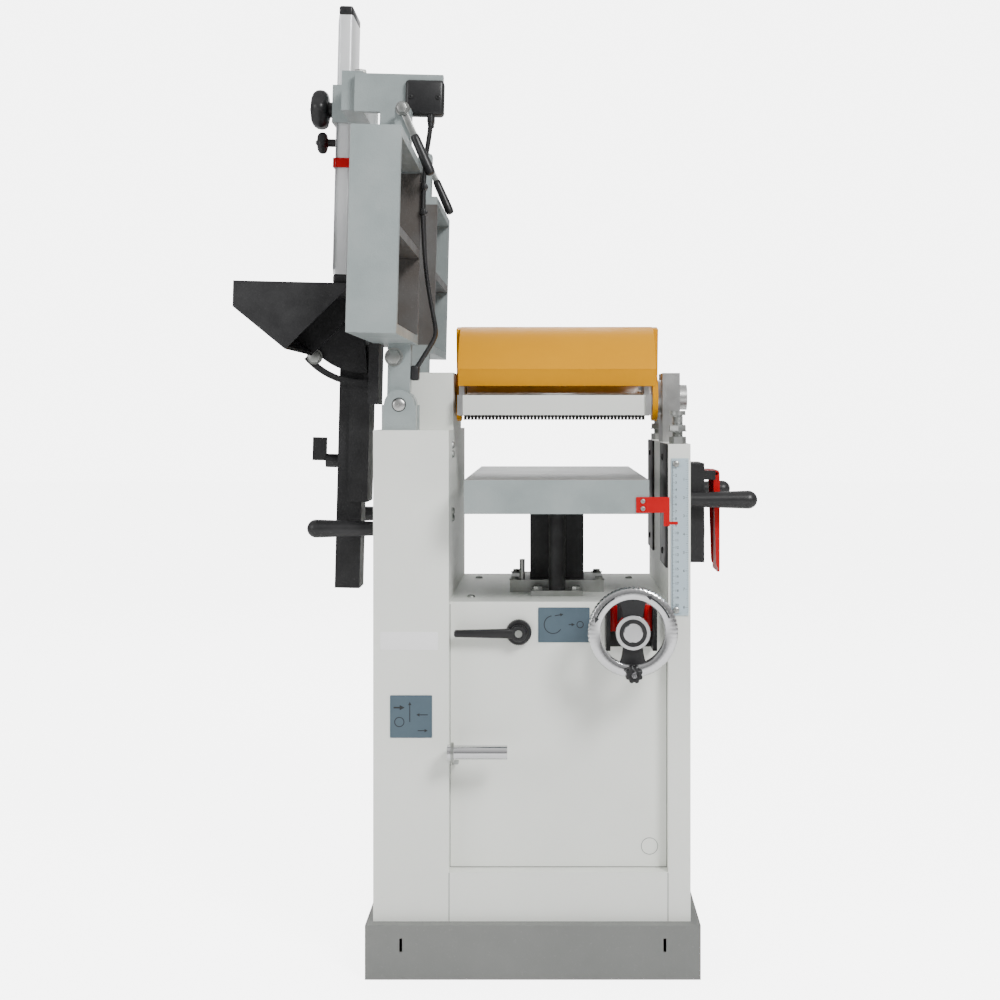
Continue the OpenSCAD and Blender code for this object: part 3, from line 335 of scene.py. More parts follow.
# finish of each solid
nodeFinish = {
    "cabinetPaint": ["left_column", "right_column", "front_panel", "rear_panel", "deck", "drive_housing",
                     "apron_bar"],
    "plinthPaint": ["plinth", "motor_bracket"],
    "castPaint": ["infeed_table", "outfeed_table", "infeed_hinge", "outfeed_hinge", "hinge_ears",
                  "thickness_table", "guard_arm", "guard_block"],
    "turnedSteel": ["hinge_pins", "bearing_block", "roller_frames", "cutter_bearings", "finger_rod",
                    "cutterblock",
                    "infeed_roller", "outfeed_roller", "lift_nut", "motor_pulley", "cutter_pulley"],
    "zincPlate": ["stop_studs", "deck_plates"],
    "chromePlate": ["feed_lever", "handwheel"],
    "drawnAlloy": ["guard_bar", "motor"],
    "hammerBlack": ["fence", "fence_bar", "fence_bracket", "fence_guide", "lift_column", "lift_screw",
                    "wheel_bracket"],
    "blackSteel": ["fingers"],
    "mouldedBlack": ["carry_handles", "switch_box", "dust_spout", "wheel_knob", "clamp_lever", "infeed_lock",
                     "outfeed_lock", "fence_knob", "guard_knob"],
    "leadRubber": ["drive_belt", "cables"],
    "hoodYellow": ["hood", "hood_arms"],
    "signalRed": ["pointer", "guard_clip", "stop_paddle"],
    "startGreen": ["start_button"],
    "ruleBlue": ["rule"],
}


def dress(name, mat):
    nodes[name].data.materials.clear()
    nodes[name].data.materials.append(mat)


for finishName, nodeNames in nodeFinish.items():
    for nodeName in nodeNames:
        dress(nodeName, mats[finishName])
print("finishes:", len(mats))

# the tables are drawn level and turned up about the hinge pins
foldAngle = math.radians(88.6)
foldPin = Vector((-0.187, 0, 0.7925))
foldTurn = Matrix.Translation(foldPin) @ Matrix.Rotation(-foldAngle, 4, "Y") @ Matrix.Translation(-foldPin)


def folded(bm):
    bmesh.ops.transform(bm, matrix=foldTurn, verts=bm.verts)


# turns a shape made along +Z to lie along a direction and moves it to its place
def aim(bm, verts, direction, place):
    turn = Vector((0, 0, 1)).rotation_difference(Vector(direction)).to_matrix().to_4x4()
    bmesh.ops.transform(bm, matrix=Matrix.Translation(place) @ turn, verts=verts)


# closes a shape into an object that rides on its body, and hides the solid that it replaces
def newPiece(name, bm, finish, body, replaced=None, smooth=40):
    bmesh.ops.remove_doubles(bm, verts=bm.verts, dist=1e-6)
    bmesh.ops.recalc_face_normals(bm, faces=bm.faces)
    mesh = bpy.data.meshes.new(name)
    bm.to_mesh(mesh)
    bm.free()
    for one in [finish] if isinstance(finish, str) else finish:
        mesh.materials.append(mats[one])
    mesh.shade_smooth()
    mesh.set_sharp_from_angle(angle=math.radians(smooth))
    piece = addObject(name, mesh)
    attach(piece, body)
    if replaced:
        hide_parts(replaced)


# edges at some vertices, all or those that run far enough along an axis
def edgesOf(verts, axis=None, over=0.0):
    edges = {e for v in verts for e in v.link_edges}
    return [e for e in edges if axis is None or abs(e.verts[0].co[axis] - e.verts[1].co[axis]) > over]


def bevelEdges(bm, edges, width, segments=2):
    bmesh.ops.bevel(bm, geom=edges, offset=width, offset_type="OFFSET", segments=segments, profile=0.5,
                    affect="EDGES", material=-1, clamp_overlap=True)


# joins one shape to another
def addShape(bm, other):
    mesh = bpy.data.meshes.new("joined")
    other.to_mesh(mesh)
    other.free()
    bm.from_mesh(mesh)
    bpy.data.meshes.remove(mesh)


# box between two corners with rounded edges
def addBox(bm, low, high, bevel=0.0, segments=2):
    made = bmesh.ops.create_cube(bm, size=1.0)["verts"]
    bmesh.ops.scale(bm, vec=[b - a for a, b in zip(low, high)], verts=made)
    bmesh.ops.translate(bm, vec=[(a + b) / 2 for a, b in zip(low, high)], verts=made)
    if bevel:
        bevelEdges(bm, edgesOf(made), bevel, segments)
    return made


# turned shape: a list of radius and height pairs, spun about Z, then aimed
def addTurned(bm, profile, direction, place, steps=48, slot=0):
    known = set(bm.verts)
    knownFaces = set(bm.faces)
    line = [bm.verts.new((r, 0, z)) for r, z in profile]
    edges = [bm.edges.new(pair) for pair in zip(line, line[1:])]
    bmesh.ops.spin(bm, geom=line + edges, cent=(0, 0, 0), axis=(0, 0, 1), angle=math.tau, steps=steps,
                   use_merge=True)
    bmesh.ops.remove_doubles(bm, verts=[v for v in bm.verts if v not in known], dist=1e-6)
    made = [v for v in bm.verts if v not in known]
    for face in bm.faces:
        if face not in knownFaces:
            face.material_index = slot
    aim(bm, made, direction, place)
    return made


# distance and angle of a point about an axis along Y, and a vertex drawn towards that axis
def polar(co, cx, cz):
    return math.hypot(co.x - cx, co.z - cz), math.atan2(co.z - cz, co.x - cx)


def drawIn(bm, v, cx, cz, share):
    bmesh.ops.scale(bm, vec=(share, 1, share), space=Matrix.Translation((-cx, 0, -cz)), verts=[v])


# hexagon bolt head with its washer
hexHead = {"height": 0.42, "chamfer": 0.16, "washer": 0.0014, "washerMid": 0.0003, "washerSteps": 28}


def addHexHead(bm, place, direction, across, height, washer):
    flat = across / math.sqrt(3)
    known = set(bm.verts)
    made = bmesh.ops.create_cone(bm, cap_ends=True, segments=6, radius1=flat, radius2=flat,
                                 depth=height)["verts"]
    bmesh.ops.translate(bm, vec=(0, 0, height / 2), verts=made)
    top = [e for e in edgesOf(made) if all(v.co.z > height * 0.9 for v in e.verts)]
    bevelEdges(bm, top, height * hexHead["chamfer"], 2)
    disc = bmesh.ops.create_cone(bm, cap_ends=True, segments=hexHead["washerSteps"], radius1=washer,
                                 radius2=washer, depth=hexHead["washer"])["verts"]
    bmesh.ops.translate(bm, vec=(0, 0, hexHead["washerMid"]), verts=disc)
    aim(bm, [v for v in bm.verts if v not in known], direction, place)


# button head screw with a socket, in shares of radius and height, and a low screw head, its heights in metres
domeShape = [(1, 0), (1, 0.25), (0.86, 0.7), (0.62, 1), (0.42, 1), (0.399, 0.3), (0, 0.3)]
lowShape = [(1, 0), (1, 0.0006), (0.7, 0.0014), (0.35, 0.0017), (0, 0.0017)]


def addDomeHead(bm, place, direction, radius, height):
    addTurned(bm, [(radius * r, height * h) for r, h in domeShape], direction, place, 28)


# handwheel: wide bright rim with a milled edge, two waisted spokes and a stepped hub
wheel = {
    "centre": (0.1355, 0.485), "rim": 0.061, "inner": 0.0436, "thick": 0.016, "ahead": 0.030,
    "mills": 60, "millDepth": 0.0007, "millEdge": 0.0017,
    "spokeHub": 0.026, "spokeRim": 0.040, "spokeThick": 0.008, "spokeBack": 0.003, "spokeFrom": 0.012,
    "spokeSink": 0.003, "spokeCuts": 6, "spokeCurve": 2.2,
    "hub": [([(0.0186, -0.004), (0.0228, -0.004), (0.0235, -0.003), (0.0235, 0.014), (0.0186, 0.014)], 0),
            ([(0.0130, -0.0032), (0.0186, -0.0032), (0.0186, 0.012), (0.0130, 0.012)], 1),
            ([(0, -0.0062), (0.0118, -0.0062), (0.0130, -0.005), (0.0130, 0.014), (0, 0.014)], 0)],
    "shaft": [(0.007, 0.013), (0.007, 0.150), (0, 0.150)],
    "gripPin": [(0.004, -0.034), (0.004, 0.004)], "gripDrop": 0.052,
}
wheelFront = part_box("wheel_knob")[0][1] + wheel["ahead"]  # front face of the rim


def makeSpokes(cx, front, cz, ri):
    bm = bmesh.new()
    half, back = wheel["spokeHub"] / 2, front + wheel["spokeBack"]
    span = ri + wheel["spokeSink"] - wheel["spokeFrom"]
    for side in (-1, 1):
        near, far = sorted((cz + side * wheel["spokeFrom"], cz + side * (wheel["spokeFrom"] + span)))
        addBox(bm, (cx - half, back, near), (cx + half, back + wheel["spokeThick"], far))
    bmesh.ops.subdivide_edges(bm, edges=edgesOf(bm.verts, 2, 0.01), cuts=wheel["spokeCuts"],
                              use_grid_fill=True)
    for v in bm.verts:
        share = max((abs(v.co.z - cz) - wheel["spokeFrom"]) / span, 0)
        spread = (wheel["spokeRim"] / wheel["spokeHub"] - 1) * share ** wheel["spokeCurve"]
        v.co.x = cx + (v.co.x - cx) * (1 + spread)
    for f in bm.faces:
        f.material_index = 1
    return bm


def makeHandwheel():
    cx, cz = wheel["centre"]
    place = (cx, wheelFront, cz)
    bm = bmesh.new()
    ro, ri, t = wheel["rim"], wheel["inner"], wheel["thick"]
    made = addTurned(bm, [(ri, 0.003), (ri + 0.0012, 0.0012), (ri + 0.003, 0.0004), (ro - 0.004, 0.0),
                          (ro - 0.0015, 0.0012), (ro, 0.004), (ro, t - 0.003), (ro - 0.002, t),
                          (ri + 0.002, t),
                          (ri, t - 0.002), (ri, 0.003)], (0, 1, 0), place, wheel["mills"] * 4)
    for v in made:
        out, turn = polar(v.co, cx, cz)
        if out > ro - wheel["millEdge"] and round(turn / math.tau * wheel["mills"] * 4) % 4 == 0:
            drawIn(bm, v, cx, cz, 1 - wheel["millDepth"] / out)
    addShape(bm, makeSpokes(cx, wheelFront, cz, ri))
    for profile, slot in wheel["hub"]:
        addTurned(bm, profile, (0, 1, 0), place, 56, slot)
    addTurned(bm, wheel["shaft"], (0, 1, 0), place, 32)
    addTurned(bm, wheel["gripPin"], (0, 1, 0), (cx, wheelFront, cz - wheel["gripDrop"]), 20)
    newPiece("wheelRim", bm, ["chromePlate", "mouldedBlack"], "wheel", "handwheel", 32)


# flat marks in the plane of a face: an arc line, and an arrow from one point to another
markThick = 0.0003


def addArc(bm, y, centre, radius, fromDeg, toDeg, width=0.0011, steps=18):
    turns = [math.radians(fromDeg + (toDeg - fromDeg) * i / steps) for i in range(steps + 1)]
    rows = [[bm.verts.new((centre[0] + r * math.cos(a), y, centre[1] + r * math.sin(a))) for a in turns]
            for r in (radius - width / 2, radius + width / 2)]
    for i in range(steps):
        bm.faces.new((rows[0][i], rows[0][i + 1], rows[1][i + 1], rows[1][i]))


def addArrow(bm, y, start, end, width=0.0012, head=0.0045):
    a, b = Vector((start[0], y, start[1])), Vector((end[0], y, end[1]))
    along = (b - a).normalized()
    side = Vector((-along.z, 0, along.x))
    neck = b - along * head
    half, barb = side * width / 2, side * head / 2
    bm.faces.new([bm.verts.new(p) for p in (a + half, neck + half, neck + barb, b, neck - barb, neck - half,
                                            a - half)])


# two plain arrows on the rim, one each way
rimArrow = {"radius": 0.0525, "width": 0.0022, "from": 22, "to": 62, "head": 0.0065, "tip": 0.14,
            "lift": 0.0003, "steps": 12}


def makeRimArrows():
    cx, cz = wheel["centre"]
    y, radius, half = wheelFront - rimArrow["lift"], rimArrow["radius"], rimArrow["head"] / 2
    start, end = rimArrow["from"], rimArrow["to"]
    bm = bmesh.new()
    for side in (-1, 1):
        ends = (start, end) if side > 0 else (180 - start, 180 - end)
        addArc(bm, y, (cx, cz), radius, *ends, rimArrow["width"], rimArrow["steps"])
        base = math.radians(end if side > 0 else start)
        corners = [(radius - half, base), (radius + half, base), (radius, base + side * rimArrow["tip"])]
        points = [(cx + side * r * math.cos(a), y, cz + r * math.sin(a)) for r, a in corners]
        bm.faces.new([bm.verts.new(point) for point in points])
    bmesh.ops.solidify(bm, geom=bm.faces, thickness=markThick)
    newPiece("rimArrows", bm, "signInk", "wheel")


makeHandwheel()
makeRimArrows()
print("handwheel made")

# lobed clamping knobs of the bridge guard and its clip, drawn level: stem, crowned head, steel stud end
guardKnobs = [
    {"name": "guardKnobHead", "body": "guard_knob", "replaced": "guard_knob", "seat": (0.259, 0, 0.9174),
     "reach": 0.0114, "outer": 0.031, "thick": 0.026, "stem": 0.0115, "lobes": 6, "depth": 0.10},
    {"name": "clipKnob", "body": "infeed", "replaced": None, "seat": (0.209, 0, 0.9138),
     "reach": 0.016, "outer": 0.017, "thick": 0.015, "stem": 0.006, "lobes": 5, "depth": 0.14},
]
knobStem = [(0, 0), (1, 0), (1.02, 0.9), (1.25, 1)]  # in shares of the stem's radius and reach
knobHead = [(0, 0), (0.62, 0), (0.86, 0.08), (0.97, 0.24), (1, 0.45), (0.97, 0.66), (0.86, 0.84),
            (0.66, 0.96), (0.4, 1), (0, 0.98)]  # in shares of the head's radius and thickness
knobStud = [(0.0035, -0.002), (0.0035, 0.002), (0.0026, 0.003), (0, 0.003)]


def makeGuardKnob(knob):
    up, outer, thick = (0, 0, 1), knob["outer"], knob["thick"]
    bm = bmesh.new()
    addTurned(bm, [(knob["stem"] * r, knob["reach"] * h) for r, h in knobStem], up, knob["seat"], 32)
    seat = Vector(knob["seat"]) + Vector((0, 0, knob["reach"]))
    for v in addTurned(bm, [(outer * r, thick * h) for r, h in knobHead], up, seat, knob["lobes"] * 12):
        out = v.co - seat
        share = min(1.0, math.hypot(out.x, out.y) / outer) ** 3
        wave = 1 - knob["depth"] * share * (0.5 + 0.5 * math.cos(math.atan2(out.y, out.x) * knob["lobes"]))
        v.co.x, v.co.y = seat.x + out.x * wave, seat.y + out.y * wave
    addTurned(bm, knobStud, up, seat + Vector((0, 0, thick * knobHead[-1][1])), 20, 1)
    folded(bm)
    newPiece(knob["name"], bm, ["mouldedBlack", "zincPlate"], knob["body"], knob["replaced"])


for knobSet in guardKnobs:
    makeGuardKnob(knobSet)
print("guard knobs made")

# thin plates on the cabinet: two slate sign plates with plain arrows, one blank white label
plates = [
    {"name": "frontSign", "finish": "slatePlate", "low": (0.007, 0.459), "high": (0.0795, 0.508),
     "y": -0.175, "thick": 0.0008},
    {"name": "columnSign", "finish": "slatePlate", "low": (-0.1985, 0.330), "high": (-0.140, 0.389),
     "y": -0.198, "thick": 0.0008},
    {"name": "blankLabel", "finish": "signWhite", "low": (-0.212, 0.452), "high": (-0.132, 0.477),
     "y": -0.198, "thick": 0.0004},
]
plateCorner = 0.0012
signMarks = [
    {"face": -0.175, "arcs": [((0.028, 0.484), 0.0125, 100, 330), ((0.066, 0.484), 0.0045, 0, 360)],
     "arrows": [((0.0305, 0.4965), (0.0425, 0.4985)), ((0.050, 0.484), (0.0585, 0.484))]},
    {"face": -0.198, "arcs": [((-0.1855, 0.352), 0.0065, 0, 360)],
     "arrows": [((-0.1935, 0.372), (-0.178, 0.372), 0.0022, 0.007), ((-0.171, 0.352), (-0.171, 0.38)),
                ((-0.160, 0.340), (-0.146, 0.340)), ((-0.146, 0.362), (-0.162, 0.362))]},
]
signLift = 0.001


def makePlates():
    for plate in plates:
        (x0, z0), (x1, z1), face = plate["low"], plate["high"], plate["y"]
        bm = bmesh.new()
        made = addBox(bm, (x0, face - plate["thick"], z0), (x1, face, z1))
        bevelEdges(bm, edgesOf(made, 1, plate["thick"] * 0.5), plateCorner, 3)
        newPiece(plate["name"], bm, plate["finish"], "frame")


def makeSigns():
    bm = bmesh.new()
    for sign in signMarks:
        y = sign["face"] - signLift
        for arc in sign["arcs"]:
            addArc(bm, y, *arc)
        for arrow in sign["arrows"]:
            addArrow(bm, y, *arrow)
    bmesh.ops.solidify(bm, geom=bm.faces, thickness=markThick)
    newPiece("signArrows", bm, "signInk", "frame")


makePlates()
makeSigns()
print("plates made")

# rule on the right column: centimetres down the left edge, inches down the right edge
ruleMarks = {"zero": 0.7143, "foot": 0.004, "inset": 0.0006, "marks": (0.0062, 0.0042, 0.0028), "share": 0.62,
             "line": 0.00035, "lift": 0.0002, "digit": 0.0052, "digitIn": 0.0052,
             "scales": [{"edge": 0, "way": 1, "pitch": 0.001, "whole": 10, "half": 5, "align": "LEFT"},
                        {"edge": 1, "way": -1, "pitch": 0.0254 / 8, "whole": 8, "half": 4, "align": "RIGHT"}]}


# a word of digits as a flat mesh, standing upright and facing the front
def addDigits(bm, word, size, place, align):
    curve = bpy.data.curves.new("digits", "FONT")
    curve.body = word
    curve.size = size
    curve.align_x = align
    curve.align_y = "CENTER"
    curve.resolution_u = 3
    holder = addObject("digits", curve)
    mesh = bpy.data.meshes.new_from_object(holder.evaluated_get(bpy.context.evaluated_depsgraph_get()))
    mesh.transform(Matrix.Translation(place) @ Matrix.Rotation(math.pi / 2, 4, "X"))
    bm.from_mesh(mesh)
    bpy.data.objects.remove(holder)
    bpy.data.curves.remove(curve)
    bpy.data.meshes.remove(mesh)


def makeRuleMarks():
    low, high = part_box("rule")
    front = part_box("right_column")[0][1]
    face = front - (front - low[1]) / 2 - ruleMarks["lift"]  # the rule's screws stand proud of its face
    line = ruleMarks["line"] / 2
    bm = bmesh.new()
    for scale in ruleMarks["scales"]:
        edge, way = (low[0], high[0])[scale["edge"]], scale["way"]
        step, z = 0, ruleMarks["zero"]
        while z > low[2] + ruleMarks["foot"]:
            whole = step % scale["whole"] == 0
            rank = 0 if whole else 1 if step % scale["half"] == 0 else 2
            length = ruleMarks["marks"][rank] * ruleMarks["share"]
            start = edge + way * ruleMarks["inset"]
            x0, x1 = sorted((start, start + way * length))
            addBox(bm, (x0, face, z - line), (x1, face + ruleMarks["lift"], z + line))
            if whole and step:
                addDigits(bm, str(step // scale["whole"]), ruleMarks["digit"],
                          (edge + way * ruleMarks["digitIn"], face, z), scale["align"])
            step += 1
            z = ruleMarks["zero"] - step * scale["pitch"]
    newPiece("ruleMarks", bm, "signInk", "frame")


makeRuleMarks()
print("rule marked")

# bolt and screw heads: kind, direction, size, share that sets the dome, washer or low head, places
headSets = {
    "fasteners_frame": [
        ("dome", (-1, 0, 0), 0.008, 0.6, [(-0.2220, -0.150, 0.330)]),
        ("dome", (1, 0, 0), 0.0055, 0.6, [(-0.117, -0.120, z) for z in (0.735, 0.722, 0.640, 0.630)])],
    "boltHeads_infeed": [
        ("hex", (1, 0, 0), 0.016, 0.7, [(0.287, -0.095, 0.866), (0.287, -0.122, 0.866)]),
        ("hex", (0, -1, 0), 0.019, 0.7, [(-0.120, -0.1717, 0.803)]),
        ("hex", (0, -1, 0), 0.013, 0.7, [(0.223, -0.210, 0.796)])],
    "boltHeads_outfeed": [
        ("hex", (0, 1, 0), 0.019, 0.7, [(-0.120, 0.1717, 0.803)]),
        ("hex", (0, 1, 0), 0.013, 0.7, [(0.223, 0.210, 0.796)])],
    "boltHeads_fence": [
        ("hex", (0, -1, 0), 0.016, 0.7, [(-0.1207, -0.1253, 0.9213)]),
        ("hex", (0, -1, 0), 0.014, 0.7, [(-0.049, -0.1253, 0.8545)])],
    "fixedHeads_frame": [
        ("low", (0, -1, 0), 0.0045, 1, [(0.1985, -0.202, 0.7105), (0.1985, -0.202, 0.5075)]),
        ("hex", (0, -1, 0), 0.014, 0.8, [(-0.020, -0.187, 0.474)]),
        ("hex", (0, 0, 1), 0.011, 0.8, [(x, y, 0.534) for x in (-0.028, 0.096) for y in (-0.052, 0.052)]),
        ("hex", (0, 0, 1), 0.012, 0.8, [(0.006, -0.095, 0.524), (0.062, -0.095, 0.524)]),
        ("dome", (0, 0, 1), 0.006, 0.55, [(x, y, 0.516) for y in (-0.120, 0.130) for x in (-0.090, 0.150)])],
    "pointerScrews": [("dome", (0, -1, 0), 0.0034, 0.0022 / 0.0034,
                       [(0.1485, -0.267, z) for z in (0.6525, 0.6625)])],
}


# heads on the tables and the fence are drawn level and turned up with them
def makeHeads(name, body, isFolded=False):
    bm = bmesh.new()
    for kind, direction, size, share, places in headSets[name]:
        for place in places:
            if kind == "hex":
                addHexHead(bm, place, direction, size, size * hexHead["height"], size * share)
            elif kind == "dome":
                addDomeHead(bm, place, direction, size, size * share)
            else:
                addTurned(bm, [(size * r, share * h) for r, h in lowShape], direction, place, 24)
    if isFolded:
        folded(bm)
    newPiece(name, bm, "zincPlate", body)


makeHeads("fasteners_frame", "frame")

# black wear strips on the inside of the right column
wearStrips = {"thick": 0.003, "spans": [(-0.190, -0.080), (0.080, 0.190)], "low": 0.565, "high": 0.738,
              "edge": 0.0008, "screwIn": 0.02, "screw": (0.005, 0.0025)}


def makeWearStrips():
    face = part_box("right_column")[0][0]
    low, high, inset = wearStrips["low"], wearStrips["high"], wearStrips["screwIn"]
    bm = bmesh.new()
    for y0, y1 in wearStrips["spans"]:
        addBox(bm, (face - wearStrips["thick"], y0, low), (face, y1, high), wearStrips["edge"])
        for z in (low + inset, high - inset):
            addDomeHead(bm, (face - wearStrips["thick"], (y0 + y1) / 2, z), (-1, 0, 0), *wearStrips["screw"])
    newPiece("wearStrips", bm, "mouldedBlack", "frame")


makeWearStrips()
print("fasteners and strips made")

# machined faces: painted castings, ground bright on the working face, which keeps little of their skin
tableNormal = (-math.sin(foldAngle), 0, math.cos(foldAngle))
groundFaces = {
    "thickness_table": {"normal": (0, 0, 1), "level": 0.6905},
    "infeed_table": {"normal": tableNormal, "depth": 0.0405},
    "outfeed_table": {"normal": tableNormal, "depth": 0.0415},
}
groundRelief = 0.12

# bare casting in the pockets under the planing tables, its colour darkened further as painted shade in the
# pockets
rawCastingAndShade = {"low": (0, 0.034, 0.8905), "high": (1, 0.443, 1.1204),
              "tone": {"base": (0.125, 0.125, 0.124), "shade": (0.092, 0.080, 0.072), "scale": 9}}


def addRawCastingAndShade(tree, place, paint):
    tone = addMottle(tree, place, {**finishes["castPaint"], **rawCastingAndShade["tone"]})
    span = {"Vector": place, "Low": rawCastingAndShade["low"], "High": rawCastingAndShade["high"]}
    inside = addNode(tree, "Group", span, node_tree=pocket)
    return mixColor(tree, inside.outputs["Mask"], paint, tone["Color"])


def makeGroundFace(name, face):
    mat = makeFinish(name + "Iron", finishes["castPaint"])
    tree = mat.node_tree
    kinds = ("BSDF_PRINCIPLED", "BUMP", "TEX_COORD")
    shader, bump, coord = (next(n for n in tree.nodes if n.type == kind) for kind in kinds)
    paint, gloss = (shader.inputs[label].links[0].from_socket for label in ("Base Color", "Roughness"))
    skin, place = bump.inputs["Height"].links[0].from_socket, coord.outputs["Object"]
    level = face.get("level")
    if level is None:
        # pockets under the planing tables: bare casting colour with painted shade
        paint = addRawCastingAndShade(tree, place, paint)
        level = Vector(face["normal"]).dot(foldPin) + face["depth"]
    iron = finishes["groundIron"]
    bare = addMottle(tree, place, iron)
    dot = addNode(tree, "VectorMath", {0: place, 1: face["normal"]}, operation="DOT_PRODUCT")
    mask = mathOf(tree, "GREATER_THAN", dot.outputs["Value"], level)
    share = mathOf(tree, "MULTIPLY_ADD", mask, groundRelief - 1, 1)
    setInputs(tree, bump, {"Height": mathOf(tree, "MULTIPLY", skin, share)})
    setInputs(tree, shader, {"Base Color": mixColor(tree, mask, paint, bare["Color"]),
                             "Roughness": mixValue(tree, mask, gloss, bare["Roughness"]),
                             "Metallic": mathOf(tree, "MULTIPLY", mask, iron["metal"])})
    dress(name, mat)


for tableName, tableFace in groundFaces.items():
    makeGroundFace(tableName, tableFace)
print("ground faces set")

# table locks: flat steel shank with an eye, and a moulded sleeve
lockLever = {"pivot": (0.223, 0.796), "out": 0.2033, "angle": 205, "eye": 0.010, "bore": 0.0062,
             "edge": 0.001, "thick": 0.006, "shank": (0.008, 0.046), "shankHalf": 0.0048, "shankIn": 0.0004,
             "sleeve": (0.040, 0.100), "grip": 0.007}


def makeLock(node, side):
    px, pz = lockLever["pivot"]
    place = (px, side * lockLever["out"], pz)
    angle = math.radians(lockLever["angle"])
    way = Vector((math.cos(angle), 0, math.sin(angle)))
    eye, bore, edge, t = lockLever["eye"], lockLever["bore"], lockLever["edge"], lockLever["thick"] / 2
    bm = bmesh.new()
    addTurned(bm, [(bore, -t), (eye - edge, -t), (eye, -t + edge), (eye, t - edge), (eye - edge, t),
                   (bore, t), (bore, -t)], (0, 1, 0), place, 36)
    known = set(bm.verts)
    half, flat = lockLever["shankHalf"], t - lockLever["shankIn"]
    start, end = lockLever["shank"]
    addBox(bm, (-half, -flat, start), (half, flat, end), edge)
    aim(bm, [v for v in bm.verts if v not in known], way, place)
    a, b = lockLever["sleeve"]
    g = lockLever["grip"]
    addTurned(bm, [(0, a), (g * 0.72, a), (g * 0.84, a + 0.001), (g * 0.9, a + 0.006), (g, b - 0.016),
                   (g, b - 0.006), (g * 0.86, b - 0.0018), (g * 0.5, b), (0, b)], way, place, 28, 1)
    folded(bm)
    newPiece(node + "Handle", bm, ["zincPlate", "mouldedBlack"], node, node)


makeLock("infeed_lock", -1)
makeLock("outfeed_lock", 1)
print("locks made")

# safety switch leads: the route of the solids in millimetres, drawn level
leads = {
    "leadA": [
        (218, -153, 760), (206, -153, 760.5), (186, -153.5, 763), (160, -154, 767), (136, -154, 768),
        (92, -154, 768), (14, -154, 764), (-36, -154, 756), (-76, -154, 746), (-90, -154, 746),
        (-108, -154, 756), (-138, -154, 774)],
    "leadB": [
        (218, -165, 760), (206, -165, 760.5), (186, -165, 763), (150, -165, 767), (112, -165, 768),
        (72, -165, 768), (4, -165, 762), (-40, -165, 754), (-76, -165, 746), (-90, -165, 746),
        (-108, -165, 756), (-138, -165, 774)],
}
leadRadius = 0.003


def makeLeads():
    for name, route in leads.items():
        curve = bpy.data.curves.new(name, "CURVE")
        curve.dimensions = "3D"
        curve.bevel_depth = leadRadius
        curve.bevel_resolution = 4
        curve.use_fill_caps = True
        spline = curve.splines.new("NURBS")
        spline.points.add(len(route) - 1)
        for point, place in zip(spline.points, route):
            point.co = (*(foldTurn @ (Vector(place) / 1000)), 1)
        spline.order_u = 3
        spline.use_endpoint_u = True
        spline.resolution_u = 8
        curve.materials.append(mats["leadRubber"])
        piece = addObject(name, curve)
        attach(piece, "infeed")
        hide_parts("cables")


makeLeads()
print("leads made")

# bridge guard rail: drawn alloy with rounded edges, a sunk top face and moulded end caps
rail = {"low": (-0.008, -0.045, 0.8895), "size": (0.415, 0.090, 0.021), "cap": 0.014, "capRound": 0.0035,
        "round": 0.004, "lip": 0.006, "groove": 0.0025, "sunk": -0.0008}


def makeGuardRail():
    x0, y0, z0 = rail["low"]
    x1, y1, z1 = (a + b for a, b in zip(rail["low"], rail["size"]))
    cap = rail["cap"]
    bm = bmesh.new()
    body = addBox(bm, (x0 + cap, y0, z0), (x1 - cap, y1, z1))
    bevelEdges(bm, edgesOf(body, 0, 0.1), rail["round"], 4)
    top = [f for f in bm.faces if f.normal.z > 0.9]
    for thick, depth in ((rail["lip"], 0), (rail["groove"], rail["sunk"])):
        bmesh.ops.inset_region(bm, faces=top, thickness=thick, depth=depth, use_even_offset=True)
    known = set(bm.faces)
    for start, end in ((x0, x0 + cap), (x1 - cap, x1)):
        addBox(bm, (start, y0, z0), (end, y1, z1), rail["capRound"], 3)
    for f in bm.faces:
        if f not in known:
            f.material_index = 1
    folded(bm)
    newPiece("guardRail", bm, ["drawnAlloy", "mouldedBlack"], "guard_bar", "guard_bar")


makeGuardRail()

# switch box of the guard, black, with a boss for each lead
guardSwitch = {"low": (0.222, -0.1695, 0.742), "high": (0.272, -0.146, 0.7965), "round": 0.005,
               "leadY": (-0.153, -0.1645), "leadZ": 0.760, "sink": 0.001, "screwIn": 0.008,
               "screw": (0.0035, 0.002),
               "boss": [(0, 0), (0.0052, 0), (0.0052, 0.010), (0.0042, 0.011), (0.0042, 0.016), (0, 0.016)]}


def makeGuardSwitch():
    low, high, inset = guardSwitch["low"], guardSwitch["high"], guardSwitch["screwIn"]
    bm = bmesh.new()
    addBox(bm, low, high, guardSwitch["round"], 3)
    for y in guardSwitch["leadY"]:
        addTurned(bm, guardSwitch["boss"], (-1, 0, 0),
                  (low[0] + guardSwitch["sink"], y, guardSwitch["leadZ"]), 20)
    for z in (low[2] + inset, high[2] - inset):
        addDomeHead(bm, ((low[0] + high[0]) / 2, low[1], z), (0, -1, 0), *guardSwitch["screw"])
    folded(bm)
    newPiece("guardSwitch", bm, "mouldedBlack", "infeed")


makeGuardSwitch()
for carrier in ("infeed", "outfeed", "fence"):
    makeHeads("boltHeads_" + carrier, carrier, True)
print("guard rail, switch and bolt heads made")

makeHeads("fixedHeads_frame", "frame")

# rear cover: louvres and corner screws
rearVent = {"rows": 6, "first": 0.250, "pitch": 0.022, "low": -0.080, "high": 0.080, "tall": 0.008,
            "proud": 0.004,
            "sink": 0.001, "round": 0.0018, "screwIn": (0.018, 0.02), "screw": (0.0055, 0.0032)}


